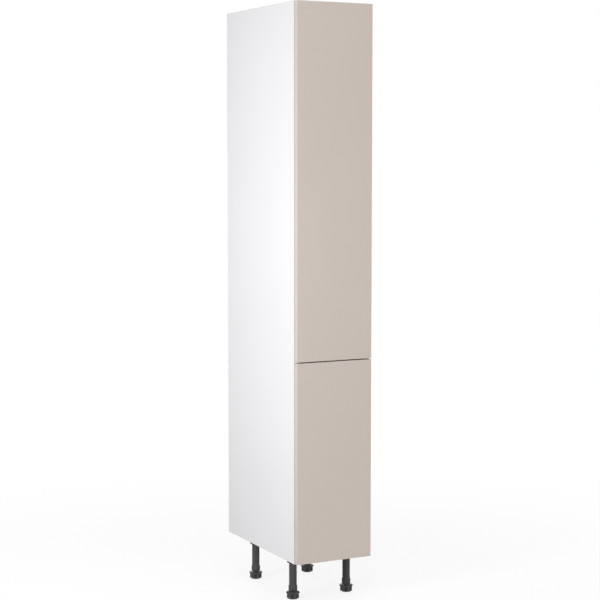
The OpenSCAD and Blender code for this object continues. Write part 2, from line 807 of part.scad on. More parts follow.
// Cage with its balls: a thin channel whose two edges hold them
module ball_cage(u0, u1, v, ball, ball_u) {
    color(bright) translate([0, 0, cage_rear]) union() {
        difference() {
            union() {
                translate([u0, -v - cage_t / 2, 0]) cube([cage_t, 2 * v + cage_t, cage_l]);
                for (s = [-1, 1]) {
                    translate([u0, s * v - cage_t / 2, 0]) cube([u1 - u0, cage_t, cage_l]);
                }
            }
            for (i = [0:balls - 1]) translate([ball_u, 0, (i + 0.5) * ball_step]) rotate([90, 0, 0])
                cylinder(d = ball + 2 * cage_hole_play, h = 2 * v + 4 * cage_t, center = true);
        }
        for (s = [-1, 1]) for (i = [0:balls - 1]) {
            translate([ball_u, s * v, (i + 0.5) * ball_step]) sphere(d = ball);
        }
    }
}

module cage_a() {
    ball_cage(cage_a_u, lip_a_u - cage_edge_air, cage_a_v, ball_a, ball_a_u);
}

module cage_b() {
    ball_cage(cage_b_u, lip_b_u - cage_edge_air, cage_b_v, ball_b, ball_b_u);
}

// ---- runner ----

module base_channel() {
    color(zinc) difference() {
        span([-channel_w / 2, slide_y - slide_l, floor_z], [channel_w / 2, slide_y, floor_z + channel_h]);
        span([-web_x, slide_y - slide_l - 1, floor_z + sheet_t],
            [web_x, slide_y + 1, floor_z + channel_h + 1]);
        for (s = [-1, 1]) for (y = channel_ys) {
            translate([s * channel_screw_x, y, floor_z + sheet_t]) rotate([180, 0, 0]) screw_bore(sheet_t);
        }
    }
}

module top_bracket() {
    low = high_z - slide_h / 2;
    color(zinc) difference() {
        union() {
            span([top_web_x, slide_y - slide_l, low], [top_web_x + sheet_t, slide_y, ceil_z]);
            span([top_web_x, slide_y - slide_l, ceil_z - sheet_t],
                [top_web_x + sheet_t + top_flange_w, slide_y, ceil_z]);
        }
        for (y = channel_ys) translate([top_screw_x, y, ceil_z - sheet_t]) screw_bore(sheet_t);
    }
}

module runner_screws() {
    color(bright) union() {
        for (s = [-1, 1]) for (y = channel_ys) {
            translate([s * channel_screw_x, y, floor_z + sheet_t]) rotate([180, 0, 0]) screw(screw_l);
        }
        for (y = channel_ys) translate([top_screw_x, y, ceil_z - sheet_t]) screw(screw_l);
        for (s = [-1, 1]) for (z = [wall_z - wall_screw, wall_z + wall_screw]) {
            translate([s * (inner_w - sheet_t), wall_y, z]) rotate([0, s * 90, 0]) screw(screw_l);
        }
    }
}

// Housing on the channel floor with an open slot for the pin, and its oil cylinder in a pocket behind it
module soft_close_damper() {
    z0 = floor_z + sheet_t;
    z1 = z0 + damper_h;
    y0 = damper_y - damper_l;
    slot_w = pin_d + 2 * pin_play;
    pocket = [pin_y + oil_back, damper_y - damper_wall];
    color(graphite) union() {
        difference() {
            span([-damper_w / 2, y0, z0], [damper_w / 2, damper_y, z1]);
            span([-slot_w / 2, y0 - 1, pin_low - pin_air], [slot_w / 2, pin_y + slot_back, z1 + 1]);
            span([damper_wall - damper_w / 2, pocket[0], z1 - oil_d + oil_sink],
                [damper_w / 2 - damper_wall, pocket[1], z1 + 1]);
        }
        along_y(0, pocket[0] - eps, pocket[1] + eps, z1 - oil_d / 2 - oil_sink, oil_d);
    }
}

// Inverted channel between the inner members, with ears for the posts and the pin for the damper
module base_carriage() {
    low = low_z - in_r;
    y0 = slide_y - slide_l;
    color(graphite) union() {
        difference() {
            span([-carriage_x, y0, low], [carriage_x, slide_y, carriage_top]);
            span([-carriage_x + sheet_t, y0 - 1, low - 1],
                [carriage_x - sheet_t, slide_y + 1, carriage_top - sheet_t]);
        }
        for (y = [post_1, post_2]) for (s = [-1, 1]) difference() {
            span([s < 0 ? -post_w / 2 - sheet_t : post_w / 2, y, carriage_top - eps],
                [s < 0 ? -post_w / 2 : post_w / 2 + sheet_t, y + post_d, carriage_top + ear_h]);
            bolt_bore(y + post_d / 2, ear_z);
        }
        along_z(0, pin_y, pin_low, carriage_top - sheet_t + eps, pin_d);
    }
}

module top_carriage() {
    y0 = slide_y - slide_l;
    color(graphite) difference() {
        union() {
            span([-top_web_x - sheet_t, y0, skirt_top - sheet_t], [-top_web_x, slide_y, high_z + in_r]);
            span([-top_web_x - sheet_t, y0, skirt_top - sheet_t], [post_w / 2 + sheet_t, slide_y, skirt_top]);
            span([post_w / 2, y0, skirt_z], [post_w / 2 + sheet_t, slide_y, skirt_top]);
        }
        for (y = post_ys) bolt_bore(y, skirt_bolt_z);
    }
}

// ---- frame ----

module post(y, bolt_zs) {
    color(graphite) difference() {
        span([-post_w / 2, y, post_z], [post_w / 2, y + post_d, post_z + post_l]);
        span([-post_w / 2 + post_wall, y + post_wall, post_z - 1],
            [post_w / 2 - post_wall, y + post_d - post_wall, post_z + post_l + 1]);
        for (z = bolt_zs) bolt_bore(y + post_d / 2, z);
    }
}

module post_front() {
    post(post_1, concat([ear_z, skirt_bolt_z], [for (z = shelf_zs) z - clamp_drop],
        [for (z = shelf_zs) z + bracket_up]));
}

module post_rear() {
    post(post_2, concat([ear_z, skirt_bolt_z], [for (z = shelf_zs) z - clamp_drop]));
}

module frame_bolts() {
    arm_x = post_w / 2 + sheet_t;
    color(zinc) union() {
        for (y = post_ys) {
            frame_bolt(-arm_x, arm_x, y, ear_z);
            frame_bolt(-post_w / 2, arm_x, y, skirt_bolt_z);
            for (z = shelf_zs) frame_bolt(-arm_x, arm_x, y, z - clamp_drop);
        }
        for (z = shelf_zs) frame_bolt(-arm_x, arm_x, post_ys[0], z + bracket_up);
    }
}

// Front bracket: plate behind the front, with two arms that hold the front post
module front_brackets() {
    arm_x = post_w / 2 + sheet_t;
    color(zinc) for (zs = shelf_zs) {
        z = zs + bracket_up;
        difference() {
            union() {
                span([-bracket_w / 2, back_of_front, z - bracket_h / 2],
                    [bracket_w / 2, back_of_front + sheet_t, z + bracket_h / 2]);
                for (s = [-1, 1]) {
                    span([s < 0 ? -arm_x : post_w / 2, back_of_front, z - bracket_h / 2],
                        [s < 0 ? -post_w / 2 : arm_x, post_1 + arm_l, z + bracket_h / 2]);
                }
            }
            bolt_bore(post_ys[0], z);
            front_screw_spots(z) screw_bore(sheet_t);
        }
    }
}

// The four screws of a front bracket, driven forwards into the front
module front_screw_spots(z) {
    for (sx = [-1, 1]) for (sz = [-1, 1]) {
        translate([sx * bracket_screw_x, back_of_front + sheet_t, z + sz * bracket_screw_z])
            rotate([90, 0, 0]) children();
    }
}

module front_board(z0, h) {
    color(cashmere) difference() {
        span([-front_w / 2, front_y, z0], [front_w / 2, back_of_front, z0 + h]);
        for (zs = shelf_zs) {
            front_screw_spots(zs + bracket_up) screw_bore(screw_l);
        }
    }
}

module front_lower() {
    front_board(lower_z, lower_front_h);
}

module front_upper() {
    front_board(upper_z, upper_front_h);
}

module front_buffers() {
    color(milky) for (s = [-1, 1]) for (z = buffer_zs) {
        along_y(s * buffer_x, back_of_front, cab_y - buffer_play, z, buffer_d);
    }
}

// Shelf clamp at one post: plate on the post, ledge below the shelf and two arms with the bolt.
// y is the face of the post that looks at the shelf, and dir the way from there to the shelf.
module shelf_clamp(y, dir, z) {
    arm_x = post_w / 2 + sheet_t;
    difference() {
        union() {
            span([-clamp_w / 2, min(y, y + dir * sheet_t), z - clamp_h],
                [clamp_w / 2, max(y, y + dir * sheet_t), z]);
            span([-clamp_w / 2, min(y, y + dir * (shelf_end + clamp_l)), z - sheet_t],
                [clamp_w / 2, max(y, y + dir * (shelf_end + clamp_l)), z]);
            for (s = [-1, 1]) {
                span([s < 0 ? -arm_x : post_w / 2, min(y + dir * eps, y - dir * arm_l), z - clamp_h],
                    [s < 0 ? -post_w / 2 : arm_x, max(y + dir * eps, y - dir * arm_l), z - arm_gap]);
            }
        }
        bolt_bore(y - dir * post_d / 2, z - clamp_drop);
        for (s = [-1, 1]) {
            translate([s * clamp_screw_x, y + dir * (shelf_end + clamp_l / 2), z - sheet_t])
                screw_bore(sheet_t);
        }
    }
}

module shelf_clamps() {
    color(zinc) for (z = shelf_zs) {
        shelf_clamp(post_1 + post_d, 1, z);
        shelf_clamp(post_2, -1, z);
    }
}

module moving_screws() {
    color(bright) union() {
        for (z = shelf_zs) front_screw_spots(z + bracket_up) screw(screw_l);
        for (z = shelf_zs) for (y = clamp_ys) for (s = [-1, 1]) {
            translate([s * clamp_screw_x, y, z - sheet_t]) screw(shelf_screw_l);
        }
    }
}

// ---- shelves ----

module shelf(z) {
    color(white) difference() {
        translate([0, (shelf_y0 + shelf_y1) / 2, z]) round_plate(2 * shelf_x, shelf_len, shelf_t, shelf_r);
        for (p = upright_spots) {
            along_z(p.x, p.y, z + shelf_t - pin_in - bore_end, z + shelf_t + 1, wire_d + 2 * bore_play);
        }
        for (y = clamp_ys) for (s = [-1, 1]) {
            translate([s * clamp_screw_x, y, z]) screw_bore(shelf_screw_l - sheet_t);
        }
    }
}

// Closed wire loop with round corners
module wire_loop(d, z, in) {
    x = wire_x - in;
    y0 = wire_y0 + in;
    y1 = wire_y1 - in;
    r = wire_r - in;
    for (s = [-1, 1]) along_y(s * x, y0 + r, y1 - r, z, d);
    for (y = [y0, y1]) along_x(-x + r, x - r, y, z, d);
    for (turn = [[1, y1 - r, 0], [-1, y1 - r, 90], [-1, y0 + r, 180], [1, y0 + r, 270]]) {
        translate([turn[0] * (x - r), turn[1], z]) rotate([0, 0, turn[2]]) rotate_extrude(angle = 90)
            translate([r, 0]) circle(d = d);
    }
}

// Gallery of one shelf: top loop, lower loop welded inside the uprights, and the uprights
module gallery(zs) {
    z = zs + shelf_t;
    color(bright) union() {
        wire_loop(wire_top_d, z + gallery_h, 0);
        wire_loop(wire_d, z + gallery_mid, wire_d - weld_bite);
        for (p = upright_spots) along_z(p.x, p.y, z - pin_in, z + gallery_h, wire_d);
    }
}

// ---- nodes ----

side_panel_left();
side_panel_right();
top_panel();
base_panel();
back_panel();
cam_locks();
cam_bolts();
wood_dowels();
wall_brackets();
leg_sockets();
leg_tubes();
leg_screws();
floor_pad(leg_spots[0]);  // pad_front_left
floor_pad(leg_spots[1]);  // pad_front_right
floor_pad(leg_spots[2]);  // pad_rear_left
floor_pad(leg_spots[3]);  // pad_rear_right
leg_foot(leg_spots[0]);  // foot_front_left
leg_foot(leg_spots[1]);  // foot_front_right
leg_foot(leg_spots[2]);  // foot_rear_left
leg_foot(leg_spots[3]);  // foot_rear_right
base_channel();
top_bracket();
runner_screws();
soft_close_damper();
at_left() slide_outer();  // outer_left
at_right() slide_outer();  // outer_right
at_top() slide_outer();  // outer_top
at_left() cage_a();  // cage_a_left
at_right() cage_a();  // cage_a_right
at_top() cage_a();  // cage_a_top
at_left() slide_middle();  // middle_left
at_right() slide_middle();  // middle_right
at_top() slide_middle();  // middle_top
at_left() cage_b();  // cage_b_left
at_right() cage_b();  // cage_b_right
at_top() cage_b();  // cage_b_top
at_left() slide_inner();  // inner_left
at_right() slide_inner();  // inner_right
at_top() slide_inner();  // inner_top
base_carriage();
top_carriage();
post_front();
post_rear();
front_lower();
front_upper();
front_buffers();
front_brackets();
shelf_clamps();
frame_bolts();
moving_screws();
shelf(shelf_zs[0]);  // shelf_1
shelf(shelf_zs[1]);  // shelf_2
shelf(shelf_zs[2]);  // shelf_3
shelf(shelf_zs[3]);  // shelf_4
shelf(shelf_zs[4]);  // shelf_5
gallery(shelf_zs[0]);  // gallery_1
gallery(shelf_zs[1]);  // gallery_2
gallery(shelf_zs[2]);  // gallery_3
gallery(shelf_zs[3]);  // gallery_4
gallery(shelf_zs[4]);  // gallery_5
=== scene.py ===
import json
import math

import bmesh
import bpy
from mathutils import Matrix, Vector


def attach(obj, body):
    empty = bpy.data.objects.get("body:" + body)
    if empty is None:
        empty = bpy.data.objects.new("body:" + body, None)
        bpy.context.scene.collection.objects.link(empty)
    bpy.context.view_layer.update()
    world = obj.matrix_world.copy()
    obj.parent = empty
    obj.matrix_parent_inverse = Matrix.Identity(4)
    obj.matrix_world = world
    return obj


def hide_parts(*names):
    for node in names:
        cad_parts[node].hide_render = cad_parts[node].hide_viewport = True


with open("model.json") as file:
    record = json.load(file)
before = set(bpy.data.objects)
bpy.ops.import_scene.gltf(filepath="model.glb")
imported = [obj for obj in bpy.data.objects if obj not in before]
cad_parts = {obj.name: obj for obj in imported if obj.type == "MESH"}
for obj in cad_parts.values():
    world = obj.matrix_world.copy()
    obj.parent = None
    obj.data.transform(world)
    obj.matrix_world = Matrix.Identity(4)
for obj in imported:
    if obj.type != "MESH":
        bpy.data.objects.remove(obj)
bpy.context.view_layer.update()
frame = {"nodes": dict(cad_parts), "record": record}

# ---- Where the unit is seen from ----
# A long lens stands off the left front corner, half a metre above the middle of the unit, and
# looks slightly down.
view = bpy.data.cameras.new("camera")
view.sensor_width = 36.0
view.lens = 94.36
view.clip_end = 60.0
camera = bpy.data.objects.new("camera", view)
camera.location = (-2.5989, -5.1461, 1.5674)
camera.rotation_euler = (math.radians(84.986), 0.0, math.radians(-26.882))
bpy.context.scene.collection.objects.link(camera)
bpy.context.scene.camera = camera
bpy.context.scene.view_settings.view_transform = "Standard"


# ---- The room ----
# A plain white studio: a soft lamp stands off the left side at two thirds of the unit's height and
# a broad low one five metres in front, to the right. Weaker ones light the right side, the rear and
# the top, an even room light fills in, and the camera and shiny parts see plain white all round.
def paint(red, green, blue):
    """A colour as it looks on a screen, from 0 to 255, made Blender's linear one."""
    levels = [v / 255 for v in (red, green, blue)]
    return tuple(v / 12.92 if v <= 0.04045 else ((v + 0.055) / 1.055) ** 2.4 for v in levels) + (1.0,)


class Wire:
    """The output of a node in a shader or a Geometry Nodes tree. Sums on wires add the Math nodes
    that work them out."""

    def __init__(self, socket):
        self.socket = socket

    @staticmethod
    def node(tree, kind, settings=None, values=None):
        """Adds a node, with its settings first and then the values or wires of its inputs."""
        made = tree.nodes.new(kind)
        for name, value in (settings or {}).items():
            setattr(made, name, value)
        for name, value in (values or {}).items():
            if isinstance(value, Wire):
                tree.links.new(value.socket, made.inputs[name])
            else:
                made.inputs[name].default_value = value
        shown = [socket for socket in made.outputs if socket.enabled]
        return Wire(shown[0]) if shown else None

    def out(self, name):
        """Another output of the same node."""
        return Wire(self.socket.node.outputs[name])

    def maths(self, operation, *others):
        """One Math node on this wire and the other values."""
        values = dict(enumerate((self,) + others))
        return Wire.node(self.socket.id_data, "ShaderNodeMath", {"operation": operation}, values)

    def flipped(self, operation, other):
        """The same with the other value first."""
        values = {0: other, 1: self}
        return Wire.node(self.socket.id_data, "ShaderNodeMath", {"operation": operation}, values)

    def __add__(self, other):
        return self.maths("ADD", other)

    def __sub__(self, other):
        return self.maths("SUBTRACT", other)

    def __mul__(self, other):
        return self.maths("MULTIPLY", other)

    def __rsub__(self, other):
        return self.flipped("SUBTRACT", other)

    __radd__ = __add__
    __rmul__ = __mul__


class Finish:
    """A material on the piece's own Object coordinates. What is the same all over is a constant."""

    def __init__(self, name, constants):
        self.material = bpy.data.materials.new(name)
        self.material.use_nodes = True
        self.tree = self.material.node_tree
        self.shader = self.tree.nodes["Principled BSDF"]
        for key, value in constants.items():
            self.shader.inputs[key].default_value = value
        self.place = self.node("ShaderNodeTexCoord").out("Object")

    def node(self, kind, settings=None, values=None):
        return Wire.node(self.tree, kind, settings, values)

    def noise(self, scale, detail=2.0, stretch=(1.0, 1.0, 1.0), roughness=0.5):
        """Cloudy values about 0.5. stretch draws the pattern out along an axis where it is small."""
        place = self.node("ShaderNodeVectorMath", {"operation": "MULTIPLY"}, {0: self.place, 1: stretch})
        values = {"Vector": place, "Scale": scale, "Detail": detail, "Roughness": roughness}
        return self.node("ShaderNodeTexNoise", None, values)

    def step(self, value, low, high):
        """Rises smoothly from 0 to 1 as value goes from low to high."""
        values = {"Value": value, "From Min": low, "From Max": high}
        return self.node("ShaderNodeMapRange", {"interpolation_type": "SMOOTHSTEP"}, values)

    def between(self, value, low, high):
        """A number from low to high as value goes from 0 to 1."""
        return value * (high - low) + low

    def mix(self, share, first, second):
        """The first colour where share is 0 and the second where it is 1."""
        return self.node("ShaderNodeMix", {"data_type": "RGBA"}, {0: share, 6: first, 7: second})

    def axes(self, vector):
        """The X, Y and Z of a vector."""
        parts = self.node("ShaderNodeSeparateXYZ", None, {0: vector})
        return parts, parts.out("Y"), parts.out("Z")

    def facing(self):
        """The three parts of the direction that the surface faces."""
        return self.axes(self.node("ShaderNodeNewGeometry").out("True Normal"))

    def feed(self, name, wire):
        """Links a wire to an input of the shader."""
        self.tree.links.new(wire.socket, self.shader.inputs[name])

    def bump(self, height, depth, strength=1.0):
        """Fine relief of the given depth in metres, in the shading only."""
        values = {"Height": height, "Distance": depth, "Strength": strength}
        self.feed("Normal", self.node("ShaderNodeBump", None, values))


plain_white = (1.0, 1.0, 1.0, 1.0)
world = bpy.data.worlds.new("room")
world.use_nodes = True
bpy.context.scene.world = world
room = world.node_tree
room.nodes.clear()
rays = Wire.node(room, "ShaderNodeLightPath")
seen = rays.maths("MAXIMUM", rays.out("Is Glossy Ray")).maths("MAXIMUM", rays.out("Is Transmission Ray"))
room_light = Wire.node(room, "ShaderNodeBackground", None, {"Color": plain_white, "Strength": 0.345})
room_seen = Wire.node(room, "ShaderNodeBackground", None, {"Color": plain_white, "Strength": 1.0})
room_mix = Wire.node(room, "ShaderNodeMixShader", None, {0: seen, 1: room_light, 2: room_seen})
Wire.node(room, "ShaderNodeOutputWorld", None, {"Surface": room_mix})


def lamp(name, place, towards, width, height, power):
    """A soft lamp that shines from a place towards a point of the unit."""
    light = bpy.data.lights.new(name, "AREA")
    light.shape = "RECTANGLE"
    light.size, light.size_y, light.energy = width, height, power
    piece = bpy.data.objects.new(name, light)
    piece.location = place
    piece.rotation_euler = (Vector(towards) - Vector(place)).to_track_quat("-Z", "Y").to_euler()
    piece.visible_camera = False
    bpy.context.scene.collection.objects.link(piece)


lamp("side_lamp", (-2.40, -0.95, 1.38), (-0.15, -0.1, 1.25), 0.7, 0.7, 54.0)
lamp("front_lamp", (1.9, -5.2, 0.5), (0.0, -0.29, 0.7), 1.8, 0.9, 78.0)
lamp("right_lamp", (4.5, -0.2, 1.9), (0.15, 0.0, 1.1), 2.0, 2.0, 60.0)
lamp("rear_lamp", (1.5, 5.0, 2.2), (0.0, 0.29, 1.1), 2.0, 2.0, 74.0)
lamp("top_lamp", (-0.2, -1.0, 5.2), (0.0, -0.1, 2.0), 2.2, 2.2, 58.0)

# The floor keeps a faint shadow near the unit and is seen as plain white farther off.
far = 25
floor_mesh = bpy.data.meshes.new("floor")
floor_mesh.from_pydata([(-far, -far, 0), (far, -far, 0), (far, far, 0), (-far, far, 0)], [], [(0, 1, 2, 3)])
floor = bpy.data.objects.new("floor", floor_mesh)
bpy.context.scene.collection.objects.link(floor)
floor_finish = Finish("pale floor", {})
floor_grain = floor_finish.noise(40.0, 3.0)
floor_finish.feed("Roughness", floor_finish.between(floor_grain, 0.85, 0.95))
floor_rays = floor_finish.node("ShaderNodeLightPath")
floor_seen = floor_rays.maths("MAXIMUM", floor_rays.out("Is Glossy Ray"))
floor_finish.feed("Base Color", floor_finish.mix(floor_seen, paint(140, 140, 140), paint(240, 240, 240)))
floor_glow = floor_finish.node("ShaderNodeEmission", None, {"Color": plain_white, "Strength": 1.0})
floor_far = floor_finish.node("ShaderNodeVectorMath", {"operation": "LENGTH"}, {0: floor_finish.place})
floor_far = floor_finish.step(floor_far.out("Value"), 0.7, 2.4)
floor_mix = floor_finish.node("ShaderNodeMixShader", None, {
    0: floor_seen * floor_finish.between(floor_far, 0.84, 1.0), 2: floor_glow})
floor_finish.tree.links.new(floor_finish.shader.outputs[0], floor_mix.socket.node.inputs[1])
floor_finish.tree.links.new(floor_mix.socket, floor_finish.tree.nodes["Material Output"].inputs["Surface"])
floor_mesh.materials.append(floor_finish.material)


# ---- Side panels, base and top ----
# Chipboard 18 mm thick, faced with white melamine. The front edges have a hard plastic edging, the
# bottom and top edges a thin one, and the rear edges stay raw.
body_of = {node: body for body, nodes in frame["record"]["behaviour"]["bodies"].items() for node in nodes}


def settled(piece):
    """Works a piece's modifiers into a plain mesh."""
    bpy.context.view_layer.update()
    graph = bpy.context.evaluated_depsgraph_get()
    mesh = bpy.data.meshes.new_from_object(
        piece.evaluated_get(graph), preserve_all_data_layers=True, depsgraph=graph)
    piece.modifiers.clear()
    piece.data = mesh
    return piece


def placed(name, mesh):
    """A mesh as an object of the scene."""
    piece = bpy.data.objects.new(name, mesh)
    bpy.context.scene.collection.objects.link(piece)
    return piece


def merged(node):
    """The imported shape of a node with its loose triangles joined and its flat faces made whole."""
    shape = bmesh.new()
    shape.from_mesh(frame["nodes"][node].data)
    bmesh.ops.remove_doubles(shape, verts=shape.verts, dist=2e-6)
    bmesh.ops.dissolve_limit(
        shape, angle_limit=math.radians(0.6), verts=shape.verts, edges=shape.edges, delimit=set())
    return shape


def mesh_of(shape, name):
    """Writes a shape that is worked on into a mesh of its own."""
    mesh = bpy.data.meshes.new(name)
    shape.to_mesh(mesh)
    shape.free()
    return mesh


def bared(mesh):
    """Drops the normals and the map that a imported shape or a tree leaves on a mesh."""
    for name in ("custom_normal", "UVMap"):
        if name in mesh.attributes:
            mesh.attributes.remove(mesh.attributes[name])
    return mesh


def smooth(mesh, sharp):
    """Shades a mesh smooth, but for the edges that turn by more than sharp degrees."""
    mesh.shade_smooth()
    mesh.set_sharp_from_angle(angle=math.radians(sharp))
    return mesh


def evened(piece):
    """Shades a piece smooth round its easings and keeps its flat faces flat."""
    smooth(bared(piece.data), 52)
    even = piece.modifiers.new("flat faces", "WEIGHTED_NORMAL")
    even.keep_sharp = True
    return settled(piece)


def eased(piece, edge, segments=2):
    """Rounds a piece's sharp edges, edge wide."""
    bevel = piece.modifiers.new("eased edges", "BEVEL")
    bevel.width, bevel.segments = edge, segments
    bevel.limit_method, bevel.angle_limit = "ANGLE", math.radians(35)
    return evened(settled(piece))


def blank(node):
    """A CAD node's shape as a piece of its own."""
    return placed(node + "_piece", bared(mesh_of(merged(node), node + "_blank")))


def worked(node, edge, segments=2):
    """A CAD node's shape with its edges eased as the real piece's are."""
    return eased(blank(node), edge, segments)


def stands_for(piece, material, slot, *nodes):
    """Gives a finished piece its material and body, in the place of its CAD nodes, which it hides. slot is
    not used.
    """
    if material:
        piece.data.materials.clear()
        piece.data.materials.append(material)
    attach(piece, body_of[nodes[0]])
    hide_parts(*nodes)


def eased_copies(nodes, material, slot, edge, segments=2):
    """Puts finished pieces in the place of CAD nodes, each of its own shape with eased edges."""
    for node in nodes:
        stands_for(worked(node, edge, segments), material, slot, node)


board_white = paint(233, 232, 234)
edging_white = paint(236, 235, 237)
carcase_front = -0.270


def faced_board(name, white, thick, front, raw_rear=True):
    """Melamine-faced board whose thickness lies along axis thick and whose front edge is at front.
    Behind the edging shows its glue line, and a raw rear edge shows the chips."""
    edging_thick = 0.0011
    made = Finish(name, {"Specular IOR Level": 0.22})
    faces = made.facing()
    _, depth, _ = made.axes(made.place)
    face = made.step(faces[thick].maths("ABSOLUTE"), 0.55, 0.75)
    cloud = made.noise(2.2, 2.0)
    fine = made.noise(900.0, 2.0)
    decor = made.mix(made.step(cloud, 0.35, 0.65), white, tuple(c * 0.985 for c in white[:3]) + (1.0,))
    glue = made.step((depth - (front + edging_thick)).maths("ABSOLUTE"), 0.00018, 0.00005)
    decor = made.mix(glue * face * 0.5, decor, paint(176, 170, 160))
    laid = made.node("ShaderNodeVectorMath", {"operation": "MULTIPLY"}, {
        0: made.place, 1: (1.0, 1.0, 0.45)})
    flakes = made.node("ShaderNodeTexVoronoi", None, {"Vector": laid, "Scale": 420.0})
    tone = made.axes(flakes.out("Color"))[0]
    chips = made.mix(made.step(tone, 0.1, 0.9), paint(164, 134, 98), paint(208, 184, 148))
    chips = made.mix(made.step(made.noise(130.0, 4.0), 0.5, 0.72), chips, paint(232, 212, 176))
    low, high = (0.6, 0.8) if raw_rear else (2.0, 3.0)  # no face reaches 2
    rear = made.step(faces[1], low, high)
    colour = made.mix((1 - face) * (1 - rear), decor, edging_white)
    made.feed("Base Color", made.mix(rear, colour, chips))
    made.feed("Roughness", made.between(fine, 0.5, 0.6) + rear * 0.25)
    made.bump(fine * (1 - rear) + tone * rear * 4.0, 0.00004, 0.5)
    return made.material


side_board = faced_board("white side board", board_white, thick=0, front=carcase_front)
flat_board = faced_board("white base and top board", board_white, thick=2, front=carcase_front)
eased_copies(("side_panel_left", "side_panel_right"), side_board, "board", edge=0.0006)
eased_copies(("base_panel", "top_panel"), flat_board, "board", edge=0.0006)


# ---- Back panel ----
# A sheet of hardboard 8 mm thick that slides into grooves of the side panels when the boards are
# put together. It is painted white inside and shows bare brown fibre outside.
def hardboard():
    """White inside, brown pressed fibre outside."""
    made = Finish("hardboard", {"Specular IOR Level": 0.3})
    _, towards_rear, _ = made.facing()
    fibre = made.noise(600.0, 4.0, (1.0, 1.0, 0.25))
    blot = made.noise(9.0, 3.0)
    brown = made.mix(made.step(fibre, 0.3, 0.7), paint(146, 123, 99), paint(166, 143, 118))
    brown = made.mix(made.step(blot, 0.4, 0.75) * 0.4, brown, paint(136, 113, 90))
    outside = made.step(towards_rear, -0.4, -0.2)
    made.feed("Base Color", made.mix(outside, board_white, brown))
    made.feed("Roughness", made.between(fibre, 0.4, 0.5) + outside * 0.25)
    made.bump(fibre, 0.00006, 0.6)
    return made.material


eased_copies(("back_panel",), hardboard(), "board", edge=0.0003, segments=1)


# ---- Cam locks, their bolts and the dowels ----
# Die-cast zinc cams with a cross slot pull steel bolts in the sides; fluted beech dowels beside
# them hold the boards in line.
def zinc(name, tint=(0, 0, 0), rough=0.34):
    """Electroplated zinc: an even bluish satin with soft clouds and faint rolling streaks."""
    made = Finish(name, {"Metallic": 1.0})
    cloud = made.noise(28.0, 3.0)
    streak = made.noise(520.0, 3.0, (1.0, 0.04, 1.0))
    shade = made.step(cloud * 0.6 + streak * 0.4, 0.3, 0.7)
    low = paint(184 + tint[0], 188 + tint[1], 193 + tint[2])
    high = paint(202 + tint[0], 205 + tint[1], 209 + tint[2])
    made.feed("Base Color", made.mix(shade, low, high))
    made.feed("Roughness", made.between(shade, rough - 0.03, rough + 0.06))
    made.bump(streak, 0.00001, 0.4)
    return made.material


def wood():
    """Beech with fine grain and flecks along X."""
    made = Finish("beech", {"Specular IOR Level": 0.3})
    grain = made.noise(300.0, 3.0, (0.08, 1.0, 1.0))
    fleck = made.noise(900.0, 2.0, (0.12, 1.0, 1.0))
    colour = made.mix(made.step(grain, 0.3, 0.7), paint(206, 166, 118), paint(226, 192, 148))
    made.feed("Base Color", made.mix(made.step(fleck, 0.58, 0.72) * 0.6, colour, paint(168, 118, 74)))
    made.feed("Roughness", made.between(grain, 0.55, 0.7))
    made.bump(grain, 0.00008)
    return made.material


def dressed(node, material):
    """Keeps a CAD node as it is, under a better material."""
    data = frame["nodes"][node].data
    data.materials.clear()
    data.materials.append(material)


hardware_zinc = zinc("bright zinc")
eased_copies(("cam_locks",), hardware_zinc, "hardware_zinc", edge=0.0003)
dressed("cam_bolts", hardware_zinc)
dressed("wood_dowels", wood())


# ---- Legs ----
# Four adjustable legs of grey moulded plastic: a ribbed cup screwed under the base, a fluted tube
# with a gripping collar, a threaded spindle with its notched foot, and a soft pad below.
leg_x, leg_front, leg_rear = 0.109, -0.178, 0.135
corners = {"front_left": (-leg_x, leg_front), "front_right": (leg_x, leg_front),
           "rear_left": (-leg_x, leg_rear), "rear_right": (leg_x, leg_rear)}


def moulded(name, dark, light, rough, grain=1600.0, depth=0.00003):
    """Moulded plastic with the fine dull grain of its spark-cut mould."""
    made = Finish(name, {"Specular IOR Level": 0.25})
    fine = made.noise(grain, 2.0)
    cloud = made.noise(45.0, 2.0)
    made.feed("Base Color", made.mix(made.step(cloud * 0.6 + fine * 0.4, 0.35, 0.65), dark, light))
    made.feed("Roughness", made.between(fine, rough - 0.06, rough + 0.08))
    made.bump(fine, depth, 0.5)
    return made.material


def ring_bodies(name, spots, outline, columns, shaped):
    """Turns a closed outline of (radius, height) about the vertical through each spot. shaped gives
    the radius and height of each point from its own ones and its angle."""
    shape = bmesh.new()
    for x, y in spots:
        rows = []
        for i in range(columns):
            turn = 2 * math.pi * i / columns
            row = []
            for r, z in (shaped(r, z, turn) for r, z in outline):
                row.append(shape.verts.new((x + r * math.cos(turn), y + r * math.sin(turn), z)))
            rows.append(row)
        for i in range(columns):
            here, there = rows[i], rows[(i + 1) % columns]
            for k in range(len(outline)):
                n = (k + 1) % len(outline)
                shape.faces.new((here[k], here[n], there[n], there[k]))
    bmesh.ops.remove_doubles(shape, verts=shape.verts, dist=1e-7)
    bmesh.ops.dissolve_degenerate(shape, edges=shape.edges, dist=1e-7)
    bmesh.ops.recalc_face_normals(shape, faces=shape.faces)
    return placed(name, smooth(mesh_of(shape, name), 40))


def dip(turn, count, half_width, soft):
    """1 inside each of count equal grooves round a circle and 0 between them, with soft sides."""
    gap = 2 * math.pi / count
    away = abs((turn + gap / 2) % gap - gap / 2)
    share = min(max((half_width + soft - away) / (2 * soft), 0.0), 1.0)
    return share * share * (3 - 2 * share)


tube_r, bore_r, nut_r, collar_r, flutes = 0.014, 0.0119, 0.0111, 0.016, 12
collar_low, collar_top, tube_top = 0.0285, 0.050, 0.146
inside_wall = 0.013
